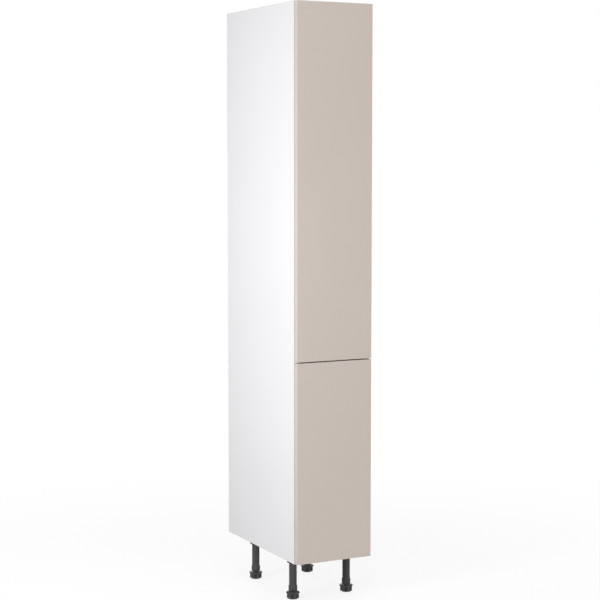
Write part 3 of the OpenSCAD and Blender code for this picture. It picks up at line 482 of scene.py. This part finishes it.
# The outlines give (radius, height) from the inside of the lower end round to the inside again.
tube_outline = [
    (nut_r, collar_low + 0.0004), (nut_r + 0.0003, collar_low), (tube_r - 0.0004, collar_low),
    (tube_r, collar_low + 0.0004), (collar_r - 0.0003, collar_low + 0.0026),
    (collar_r, collar_low + 0.0036), (collar_r, collar_low + 0.010), (collar_r, collar_top - 0.0036),
    (collar_r - 0.0003, collar_top - 0.0026), (tube_r, collar_top), (tube_r, collar_top + 0.002),
    (tube_r, 0.1), (tube_r, tube_top - 0.0004), (tube_r - 0.0004, tube_top), (bore_r, tube_top),
    (bore_r, collar_top + 0.0008), (nut_r, collar_top)]


def tube_shape(r, z, turn):
    """Grip grooves in the collar and shallow flutes up the tube."""
    if r < inside_wall:
        return r, z
    if z < collar_top:
        return r - 0.6 * max(r - tube_r, 0.0) * dip(turn, flutes, half_width=0.07, soft=0.07), z
    return r - 0.00028 * dip(turn, flutes, half_width=0.14, soft=0.06), z


leg_grey = moulded("leg grey plastic", paint(66, 66, 65), paint(74, 74, 73), 0.56)
tubes = ring_bodies("leg_tubes_piece", corners.values(), tube_outline, 96, tube_shape)
stands_for(tubes, leg_grey, "leg_plastic", "leg_tubes")

socket_black = moulded("socket black plastic", paint(36, 33, 32), paint(44, 41, 39), 0.45)
eased_copies(("leg_sockets",), socket_black, "socket_black", edge=0.0008, segments=3)

pitch, crest, root = 0.004, 0.0110, 0.0099
spindle_low, spindle_top, thread_rows = 0.0245, 0.0845, 150
teeth, foot_low, foot_floor, foot_wall, notch_top = 6, 0.0015, 0.003, 0.0190, 0.0174
spindle_side = [(crest, spindle_low + 0.0004 + (spindle_top - spindle_low - 0.0008) * i / thread_rows)
                for i in range(thread_rows + 1)]
socket_r, pin_r, foot_r = 0.0075, 0.0043, 0.02175
foot_outline = (
    [(pin_r, foot_floor), (0.0172, foot_floor), (0.0172, foot_low), (0.0207, foot_low), (0.0214, 0.0018),
     (foot_r, 0.0026), (foot_r, 0.007), (foot_r, 0.012), (foot_r, 0.0166), (foot_r, 0.0176),
     (foot_r, 0.0194), (0.0220, 0.0200), (0.0239, 0.0201), (0.02455, 0.0205), (0.02475, 0.0213),
     (0.02465, 0.0225), (0.0242, 0.0233), (0.0232, 0.0240), (0.0210, 0.0244), (0.0120, 0.0245)]
    + spindle_side
    + [(crest - 0.0006, spindle_top), (socket_r, spindle_top), (socket_r, 0.021), (0.0, 0.021),
       (0.0, 0.0096), (pin_r, 0.0096)])


def foot_shape(r, z, turn):
    """Notches between the rounded teeth of the foot, and the spindle's right-hand thread."""
    if r > foot_wall and z < notch_top:
        notch = dip(turn, teeth, half_width=0.17, soft=0.03)
        brow = dip(turn, teeth, half_width=0.24, soft=0.07)
        share = max(0.0, 1.0 - (z - foot_low) / 0.004)
        depth = 0.0033 + 0.0035 * min(1.0, max(0.0, (z - foot_floor) / 0.003))
        return r - depth * notch - 0.0008 * (brow - notch), z + 0.0024 * share * brow
    if abs(r - crest) < 1e-6:
        along = (z / pitch - turn / (2 * math.pi)) % 1.0
        flank = min(max((abs(along - 0.5) - 0.14) / 0.2, 0.0), 1.0)
        ends = min(1.0, (z - spindle_low) / 0.001, (spindle_top - z) / 0.002)
        return r - (crest - root) * flank * max(ends, 0.0), z
    return r, z


for corner, spot in corners.items():
    foot = ring_bodies("foot_%s_piece" % corner, [spot], foot_outline, 120, foot_shape)
    stands_for(foot, leg_grey, "leg_plastic", "foot_" + corner)

pad_black = moulded(
    "pad black rubber", paint(30, 30, 30), paint(40, 40, 40), 0.75, grain=500.0, depth=0.0001)
eased_copies(["pad_" + corner for corner in corners], pad_black, "pad_black", edge=0.0004)


# ---- Screws ----
# Zinc-plated pan-head screws with a cross recess, 8 mm over the head, hold the legs, the runners
# and the wall brackets, and the fronts and shelves on the moving frame.
head_r, head_h, shank_r = 0.004, 0.0025, 0.002


def loose_parts(node):
    """The corners of each separate solid of a CAD node."""
    shape = merged(node)
    left = set(shape.verts)
    parts = []
    for start in shape.verts:
        if start not in left:
            continue
        left.remove(start)
        reach, part = [start], []
        while reach:
            corner = reach.pop()
            part.append(corner.co.copy())
            for edge in corner.link_edges:
                other = edge.other_vert(corner)
                if other in left:
                    left.remove(other)
                    reach.append(other)
        parts.append(part)
    shape.free()
    return parts


def box_round(part):
    """The lowest and highest corners of the box round a solid."""
    low = Vector(min(c[k] for c in part) for k in range(3))
    high = Vector(max(c[k] for c in part) for k in range(3))
    return low, high


def seats_of(node):
    """For each screw of a node: the underside of its head, the way its shank goes, its length. Only
    the head has corners more than wide from the middle line."""
    wide = (head_r + shank_r) / 2
    found = []
    for part in loose_parts(node):
        low, high = box_round(part)
        axis = max(range(3), key=lambda k: high[k] - low[k])
        middle = (low + high) / 2
        away = [c[axis] for c in part if ((c - middle) - Vector(
            (c - middle)[k] if k == axis else 0.0 for k in range(3))).length > wide]
        aim = Vector((0.0, 0.0, 0.0))
        aim[axis] = 1.0 if sum(away) / len(away) < middle[axis] else -1.0
        seat = middle.copy()
        seat[axis] = low[axis] + head_h if aim[axis] > 0 else high[axis] - head_h
        found.append((seat, aim, high[axis] - low[axis] - head_h))
    return found


def growing(name, inputs):
    """A Geometry Nodes tree with named inputs, and the wires of its Group Input."""
    tree = bpy.data.node_groups.new(name, "GeometryNodeTree")
    tree.interface.new_socket("Geometry", in_out="INPUT", socket_type="NodeSocketGeometry")
    for label, kind in inputs.items():
        tree.interface.new_socket(label, in_out="INPUT", socket_type="NodeSocket" + kind)
    tree.interface.new_socket("Geometry", in_out="OUTPUT", socket_type="NodeSocketGeometry")
    given = Wire.node(tree, "NodeGroupInput")
    return tree, {socket.name: Wire(socket) for socket in given.socket.node.outputs if socket.name}


def ended(tree, geometry, finish):
    """Realizes what a tree has made, gives it its material and sends it out."""
    whole = Wire.node(tree, "GeometryNodeRealizeInstances", None, {0: geometry})
    finished = Wire.node(tree, "GeometryNodeSetMaterial", None, {"Geometry": whole, "Material": finish})
    Wire.node(tree, "NodeGroupOutput", None, {0: finished})
    return tree


def grown(name, mesh, tree, values):
    """Runs a mesh through a tree and keeps the result as a plain mesh."""
    piece = placed(name, mesh)
    work = piece.modifiers.new(tree.name, "NODES")
    work.node_group = tree
    for item in tree.interface.items_tree:
        if item.in_out == "INPUT" and item.name in values:
            work[item.identifier] = values[item.name]
    return settled(piece)


def joined(tree, *parts):
    """Puts the geometries of a tree together."""
    whole = Wire.node(tree, "GeometryNodeJoinGeometry")
    for part in parts:
        tree.links.new(part.socket, whole.socket.node.inputs[0])
    return whole


def carried(tree, name, kind):
    """What the points of a tree's mesh carry under a name."""
    return Wire.node(tree, "GeometryNodeInputNamedAttribute", {"data_type": kind}, {"Name": name})


def points_mesh(name, seats):
    """Points that carry the way they aim and a length."""
    mesh = bpy.data.meshes.new(name)
    mesh.from_pydata([seat[0] for seat in seats], [], [])
    mesh.attributes.new("aim", "FLOAT_VECTOR", "POINT")
    mesh.attributes.new("length", "FLOAT", "POINT")
    for i, (_, aim, length) in enumerate(seats):
        mesh.attributes["aim"].data[i].vector = aim
        mesh.attributes["length"].data[i].value = length
    return mesh


fixing_tree, given = growing("fixings", {"Head": "Object", "Shank radius": "Float", "Finish": "Material"})
turn = Wire.node(fixing_tree, "FunctionNodeAlignRotationToVector", {"axis": "Z"}, {
    "Vector": carried(fixing_tree, "aim", "FLOAT_VECTOR")})
head = Wire.node(fixing_tree, "GeometryNodeObjectInfo", None, {
    "Object": given["Head"], "As Instance": True})
heads = Wire.node(fixing_tree, "GeometryNodeInstanceOnPoints", None, {
    "Points": given["Geometry"], "Instance": head.out("Geometry"), "Rotation": turn})
rod = Wire.node(fixing_tree, "GeometryNodeMeshCylinder", None, {
    "Vertices": 12, "Radius": given["Shank radius"], "Depth": 1.0})
rod = Wire.node(fixing_tree, "GeometryNodeTransform", None, {
    "Geometry": rod, "Translation": (0.0, 0.0, 0.5)})
stretch = Wire.node(fixing_tree, "ShaderNodeCombineXYZ", None, {
    "X": 1.0, "Y": 1.0, "Z": carried(fixing_tree, "length", "FLOAT")})
rods = Wire.node(fixing_tree, "GeometryNodeInstanceOnPoints", None, {
    "Points": given["Geometry"], "Instance": rod, "Rotation": turn, "Scale": stretch})
ended(fixing_tree, joined(fixing_tree, heads, rods), given["Finish"])


def through_rings(name, rings, sharp):
    """A closed shape through rings of corners, as an object that a tree can repeat."""
    shape = bmesh.new()
    rows = [[shape.verts.new(corner) for corner in ring] for ring in rings]
    columns = len(rows[0])
    for first, second in zip(rows, rows[1:]):
        for i in range(columns):
            n = (i + 1) % columns
            shape.faces.new((first[i], first[n], second[n], second[i]))
    shape.faces.new(rows[0])
    shape.faces.new(list(reversed(rows[-1])))
    bmesh.ops.recalc_face_normals(shape, faces=shape.faces)
    return bpy.data.objects.new(name, smooth(mesh_of(shape, name), sharp))


def pan_head(name, radius, height):
    """The head of a screw, hanging below its seat at the origin, with a cross recess on its end."""
    columns = 32
    rings = [(1.0, 0.0), (1.0, 0.55), (0.97, 0.7), (0.86, 0.87), (0.66, 0.97), (0.56, 0.99), (0.42, 1.0),
             (0.3, 1.0), (0.19, 1.0)]
    rows = []
    for share, drop in rings:
        row = []
        for i in range(columns):
            angle = 2 * math.pi * i / columns
            x, y = share * math.cos(angle), share * math.sin(angle)
            cut = 0.55 if min(abs(x), abs(y)) < 0.12 and share < 0.6 else 0.0
            row.append((radius * x, radius * y, -height * (drop - cut)))
        rows.append(row)
    return through_rings(name, rows, 38)


screw_head = pan_head("screw head", head_r, head_h)
screw_zinc = zinc("screw zinc", tint=(6, 6, 4), rough=0.28)
for node in ("leg_screws", "runner_screws", "moving_screws"):
    screws = grown(node + "_piece", points_mesh(node + "_seats", seats_of(node)), fixing_tree, {
        "Head": screw_head, "Shank radius": shank_r, "Finish": screw_zinc})
    stands_for(screws, None, "hardware_zinc", node)


# ---- Fronts ----
# Two plain slab fronts, 18 mm board under a matt cashmere lacquer with finely rounded edges. Soft
# clear buffers behind them keep a 2 mm gap to the cabinet.
def lacquer():
    """The matt lacquer, with painted shade on its side and end edges and its inside a shade of its own."""
    made = Finish("matt cashmere lacquer", {"Specular IOR Level": 0.16})
    across, towards_rear, up = made.facing()
    peel = made.noise(230.0, 2.0)
    fine = made.noise(1500.0, 1.0)
    cloud = made.noise(1.6, 2.0)
    front = made.mix(made.step(cloud, 0.35, 0.65), paint(213, 202, 193), paint(215, 204, 195))
    inside = made.step(towards_rear, 0.5, 0.7)
    # Painted shade: the side and end edges of the fronts are painted darker and greyer than the face, for
    # the shade they take.
    edge = made.step(across.maths("ABSOLUTE").maths("MAXIMUM", up.maths("ABSOLUTE")), 0.5, 0.9)
    front = made.mix(edge, front, paint(205, 198, 190))
    made.feed("Base Color", made.mix(inside, front, paint(216, 206, 197)))
    made.feed("Roughness", made.between(fine, 0.60, 0.68) - inside * 0.06)
    made.bump(peel * 0.7 + fine * 0.3, 0.00003, 0.4)
    return made.material


eased_copies(("front_lower", "front_upper"), lacquer(), "front_matt", edge=0.0022, segments=4)
buffer_milk = moulded("clear soft plastic", paint(214, 214, 209), paint(224, 224, 219), 0.3, grain=800.0)
eased_copies(("front_buffers",), buffer_milk, "buffer_clear", edge=0.0006, segments=3)


# ---- Runner in the base and bracket in the top ----
# Folded zinc-plated sheet: a channel screwed to the base and an angle screwed to the top carry
# three ball-bearing slides, two below and one above, with slots punched in their webs. The wall
# brackets, the front brackets and the shelf clamps are folded from the same sheet.
punching, given = growing("punching", {
    "Spots": "Object", "Radius": "Float", "Slot": "Float", "Depth": "Float", "Finish": "Material"})
spots = Wire.node(punching, "GeometryNodeObjectInfo", None, {"Object": given["Spots"]}).out("Geometry")
punch = Wire.node(punching, "GeometryNodeMeshCylinder", None, {
    "Vertices": 20, "Radius": given["Radius"], "Depth": given["Depth"]})
ends = []
for way in (-0.5, 0.5):
    shift = Wire.node(punching, "ShaderNodeCombineXYZ", None, {"Y": given["Slot"] * way})
    ends.append(Wire.node(punching, "GeometryNodeTransform", None, {
        "Geometry": punch, "Translation": shift, "Rotation": (0.0, math.pi / 2, 0.0)}))
punch = Wire.node(punching, "GeometryNodeConvexHull", None, {"Geometry": joined(punching, *ends)})
punches = Wire.node(punching, "GeometryNodeInstanceOnPoints", None, {"Points": spots, "Instance": punch})
punches = Wire.node(punching, "GeometryNodeRealizeInstances", None, {0: punches})
left_over = Wire.node(punching, "GeometryNodeMeshBoolean", {"operation": "DIFFERENCE", "solver": "EXACT"}, {
    "Mesh 1": given["Geometry"], "Mesh 2": punches})
ended(punching, left_over, given["Finish"])


def punched(piece, finish, spots, radius, slot, depth):
    """A piece with a hole of one size punched along X at each spot. slot is the hole's straight part."""
    name, mesh = piece.name, piece.data
    bpy.data.objects.remove(piece)
    marks = bpy.data.meshes.new(name + "_marks")
    marks.from_pydata(spots, [], [])
    return grown(name, mesh, punching, {
        "Spots": bpy.data.objects.new(name + "_marks", marks), "Radius": radius, "Slot": slot,
        "Depth": depth, "Finish": finish})


sheet_parts = ("base_channel", "top_bracket", "wall_brackets", "front_brackets", "shelf_clamps")
eased_copies(sheet_parts, hardware_zinc, "hardware_zinc", edge=0.0003)

slides = {"left": (-0.0417, 0.19485), "right": (0.0417, 0.19485), "top": (0.0, 2.07515)}
first_slot = {"outer": -0.236, "inner": -0.214, "middle": -0.188}
slot_pitch, slot_r, slot_run, slide_deep = 0.096, 0.0023, 0.005, 0.014


def slotted(member, place, material, slot, edge):
    """Finishes a member of a slide, with five slots along its middle."""
    node = "%s_%s" % (member, place)
    x, z = slides[place]
    spots = [(x, first_slot[member] + slot_pitch * i, z) for i in range(5)]
    piece = punched(blank(node), material, spots, slot_r, slot_run, slide_deep)
    stands_for(eased(piece, edge), material, slot, node)


for place in slides:
    for member in ("outer", "inner"):
        slotted(member, place, hardware_zinc, "hardware_zinc", edge=0.0003)


def drawn_steel():
    """Bright cold-drawn steel with streaks along the slide."""
    made = Finish("drawn steel", {"Metallic": 1.0})
    streak = made.noise(700.0, 3.0, (1.0, 0.02, 1.0))
    shade = made.step(streak, 0.3, 0.7)
    made.feed("Base Color", made.mix(shade, paint(190, 192, 195), paint(222, 223, 226)))
    made.feed("Roughness", made.between(streak, 0.16, 0.32))
    made.bump(streak, 0.00002, 0.5)
    return made.material


slide_steel = drawn_steel()
for place in slides:
    slotted("middle", place, slide_steel, "slide_steel", edge=0.0002)
    dressed("cage_a_" + place, slide_steel)
    dressed("cage_b_" + place, slide_steel)


# ---- Soft-close damper ----
# A housing of dark plastic on the channel's floor catches a pin of the carriage. Its steel oil
# cylinder lies in a pocket at the rear.
pocket_x, pocket_y, pocket_run, pocket_floor = 0.0042, 0.145, 0.0411, 0.1811


def damper():
    """Dark plastic, and bright steel where the oil cylinder lies above the floor of its pocket."""
    blur = 0.0001
    made = Finish("damper plastic and steel", {"Specular IOR Level": 0.25})
    across, along, up = made.axes(made.place)
    near = made.step(across.maths("ABSOLUTE"), pocket_x + blur, pocket_x - blur)
    lying = made.step((along - pocket_y).maths("ABSOLUTE"), pocket_run + blur, pocket_run - blur)
    steel = near * lying * made.step(up, pocket_floor - blur / 2, pocket_floor + blur / 2)
    fine = made.noise(1600.0, 2.0)
    plastic = made.mix(made.step(fine, 0.35, 0.65), paint(58, 58, 60), paint(66, 66, 68))
    made.feed("Base Color", made.mix(steel, plastic, paint(205, 207, 210)))
    made.feed("Metallic", steel)
    made.feed("Roughness", made.between(fine, 0.44, 0.58) - steel * 0.26)
    made.bump(fine * (1 - steel), 0.00003, 0.5)
    return made.material


eased_copies(("soft_close_damper",), damper(), "damper_grey", edge=0.0004)


# ---- Carriages and posts ----
# The pull-out frame is graphite powder-coated steel: a folded carriage on the lower slides, one
# under the upper slide, and two tubes bolted between them, with holes for other shelf heights.
def powder_coat():
    """Powder coat with the fine peel of its melted grains."""
    made = Finish("graphite powder coat", {"Specular IOR Level": 0.45})
    peel = made.noise(420.0, 2.0)
    fine = made.noise(2600.0, 1.0)
    cloud = made.noise(5.0, 2.0)
    made.feed("Base Color", made.mix(made.step(cloud, 0.3, 0.7), paint(72, 73, 75), paint(80, 81, 83)))
    made.feed("Roughness", made.between(fine, 0.42, 0.56))
    made.bump(peel * 0.7 + fine * 0.3, 0.00008, 0.5)
    return made.material


frame_graphite = powder_coat()
eased_copies(("base_carriage", "top_carriage"), frame_graphite, "frame_graphite", edge=0.0004)

shelf_levels = [0.290 + 0.350 * i for i in range(5)]
clamp_drop, hole_pitch, hole_r, holes_end, post_deep = 0.017, 0.025, 0.0025, 2.03, 0.03


def post_holes(y, runs):
    """Holes through a post, in runs of (first hole, count) above the bolts of each shelf."""
    return [(0.0, y, level - clamp_drop + hole_pitch * (first + i))
            for level in shelf_levels for first, count in runs for i in range(count)
            if level - clamp_drop + hole_pitch * (first + count) < holes_end]


for node, y, runs in (("post_front", -0.243, ((1, 3), (7, 7))), ("post_rear", 0.215, ((1, 13),))):
    post = punched(worked(node, edge=0.0006), frame_graphite, post_holes(y, runs), hole_r, 0.0, post_deep)
    stands_for(evened(post), frame_graphite, "frame_graphite", node)


def hex_end(name, height, end_r, end_out):
    """A hexagon 10 mm over its flats, hanging below its seat at the origin on a thin round flange.
    Its middle, out to end_r, stands proud by end_out. A ring's share says how far it is hexagonal."""
    columns, flat = 48, 0.0050
    rings = [(0.0, 0.0062, 0.0), (0.0, 0.0062, 0.0007), (0.0, 0.0059, 0.0010), (1.0, flat, 0.0010),
             (1.0, flat, height - 0.0006), (0.55, flat, height - 0.0002), (0.0, flat - 0.0004, height),
             (0.0, end_r + 0.0002, height), (0.0, end_r, height + end_out),
             (0.0, end_r * 0.5, height + end_out)]
    rows = []
    for share, radius, drop in rings:
        row = []
        for i in range(columns):
            angle = 2 * math.pi * i / columns
            corner = 1 / math.cos((angle + math.pi / 6) % (math.pi / 3) - math.pi / 6)
            reach = radius * (1 + (corner - 1) * share)
            row.append((reach * math.cos(angle), reach * math.sin(angle), -drop))
        rows.append(row)
    return through_rings(name, rows, 28)


bolt_r, bolt_end = 0.003, 0.004
head_seats, nut_seats = [], []
for part in loose_parts("frame_bolts"):
    low, high = box_round(part)
    middle, half = (low + high) / 2, (high[0] - low[0]) / 2 - bolt_end
    for seats, way, x in ((head_seats, 1.0, low[0] + bolt_end), (nut_seats, -1.0, high[0] - bolt_end)):
        seats.append((Vector((x, middle[1], middle[2])), Vector((way, 0.0, 0.0)), half))
bolt_head = hex_end("bolt head", height=0.0038, end_r=0.0024, end_out=-0.0002)
bolt_nut = hex_end("bolt nut", height=0.0030, end_r=0.0028, end_out=0.0010)
for name, seats, end in (("bolts_piece", head_seats, bolt_head), ("nuts_piece", nut_seats, bolt_nut)):
    bolts = grown(name, points_mesh(name, seats), fixing_tree, {
        "Head": end, "Shank radius": bolt_r, "Finish": screw_zinc})
    stands_for(bolts, None, "hardware_zinc", "frame_bolts")


# ---- Shelves ----
# Five boards with rounded corners, white melamine all round, under low chrome wire galleries
# whose uprights stand in bores of the board.
shelf_front = -0.224
shelf_material = faced_board(
    "white shelf board", paint(238, 238, 237), thick=2, front=shelf_front, raw_rear=False)
eased_copies(["shelf_%d" % i for i in range(1, 6)], shelf_material, "shelf_board", edge=0.0008)


def chrome():
    """Bright chrome plating with faint smears."""
    made = Finish("chrome", {"Metallic": 1.0})
    smear = made.noise(25.0, 3.0)
    shade = made.step(smear, 0.3, 0.7)
    made.feed("Base Color", made.mix(shade, paint(228, 230, 232), paint(236, 237, 239)))
    made.feed("Roughness", made.between(made.step(smear, 0.35, 0.8), 0.05, 0.14))
    return made.material


board_top, gallery_top, gallery_mid, in_board = 0.016, 0.075, 0.036, 0.008
wire_x, wire_front, wire_rear, wire_bend, inset = 0.109, -0.215, 0.187, 0.020, 0.0032
thick_wire, thin_wire = 0.003, 0.002
side_uprights, end_uprights = (-0.155, -0.014, 0.127), (-0.0545, 0.0545)
uprights = ([(side * wire_x, y) for side in (-1, 1) for y in side_uprights]
            + [(x, y) for x in end_uprights for y in (wire_front, wire_rear)])


def loop_of(inward, z):
    """The corners of a closed wire loop that lies inward of the gallery's outer line."""
    steps = 10
    x, low, high, bend = wire_x - inward, wire_front + inward, wire_rear - inward, wire_bend - inward
    centres = ((x - bend, high - bend), (bend - x, high - bend),
               (bend - x, low + bend), (x - bend, low + bend))
    line = []
    for quarter, (cx, cy) in enumerate(centres):
        for i in range(steps + 1):
            angle = math.pi / 2 * (quarter + i / steps)
            line.append((cx + bend * math.cos(angle), cy + bend * math.sin(angle), z))
    return line


def gallery_lines():
    """The middle lines of every gallery's wires, with points for the collars and the welds. kind is
    0 on a wire, 1 where an upright enters the board and 2 where wires are welded."""
    places, edges, kinds, radii = [], [], [], []
    for level in shelf_levels:
        top = level + board_top
        for inward, height, radius in ((0.0, gallery_top, thick_wire), (inset, gallery_mid, thin_wire)):
            line = loop_of(inward, top + height)
            first = len(places)
            edges += [(first + i, first + (i + 1) % len(line)) for i in range(len(line))]
            places += line
            kinds += [0] * len(line)
            radii += [radius] * len(line)
        for x, y in uprights:
            first = len(places)
            edges.append((first, first + 1))
            on_side = abs(x) == wire_x
            weld_x = x - math.copysign(inset / 2, x) if on_side else x
            weld_y = y if on_side else y - math.copysign(inset / 2, y)
            places += [(x, y, top - in_board), (x, y, top + gallery_top), (x, y, top),
                       (weld_x, weld_y, top + gallery_mid), (x, y, top + gallery_top - thick_wire)]
            kinds += [0, 0, 1, 2, 2]
            radii += [thin_wire] * 5
    mesh = bpy.data.meshes.new("gallery_lines")
    mesh.from_pydata(places, edges, [])
    mesh.attributes.new("kind", "INT", "POINT")
    mesh.attributes.new("thick", "FLOAT", "POINT")
    mesh.attributes["kind"].data.foreach_set("value", kinds)
    mesh.attributes["thick"].data.foreach_set("value", radii)
    return mesh


wiring, given = growing("wiring", {"Collar": "Vector", "Weld": "Vector", "Finish": "Material"})
kind, thick = carried(wiring, "kind", "INT"), carried(wiring, "thick", "FLOAT")


def of_kind(number):
    """Picks the points of one kind."""
    settings = {"data_type": "INT", "operation": "EQUAL"}
    return Wire.node(wiring, "FunctionNodeCompare", settings, {2: kind, 3: number})


lines = Wire.node(wiring, "GeometryNodeMeshToCurve", None, {
    "Mesh": given["Geometry"], "Selection": of_kind(0)})
ring = Wire.node(wiring, "GeometryNodeCurvePrimitiveCircle", None, {"Resolution": 14, "Radius": 1.0})
wires = Wire.node(wiring, "GeometryNodeCurveToMesh", None, {
    "Curve": lines, "Profile Curve": ring, "Scale": thick, "Fill Caps": True})
ball = Wire.node(wiring, "GeometryNodeMeshUVSphere", None, {"Segments": 16, "Rings": 8, "Radius": 1.0})
parts = [wires]
for number, size in ((1, "Collar"), (2, "Weld")):
    beads = Wire.node(wiring, "GeometryNodeInstanceOnPoints", None, {
        "Points": given["Geometry"], "Selection": of_kind(number), "Instance": ball, "Scale": given[size]})
    parts.append(Wire.node(wiring, "GeometryNodeRealizeInstances", None, {0: beads}))
together = Wire.node(wiring, "GeometryNodeSetShadeSmooth", None, {"Geometry": joined(wiring, *parts)})
ended(wiring, together, given["Finish"])
galleries = grown("galleries_piece", gallery_lines(), wiring, {
    "Collar": (0.0042, 0.0042, 0.0012), "Weld": (0.0026, 0.0026, 0.0022), "Finish": chrome()})
stands_for(galleries, None, "gallery_chrome", *["gallery_%d" % i for i in range(1, 6)])
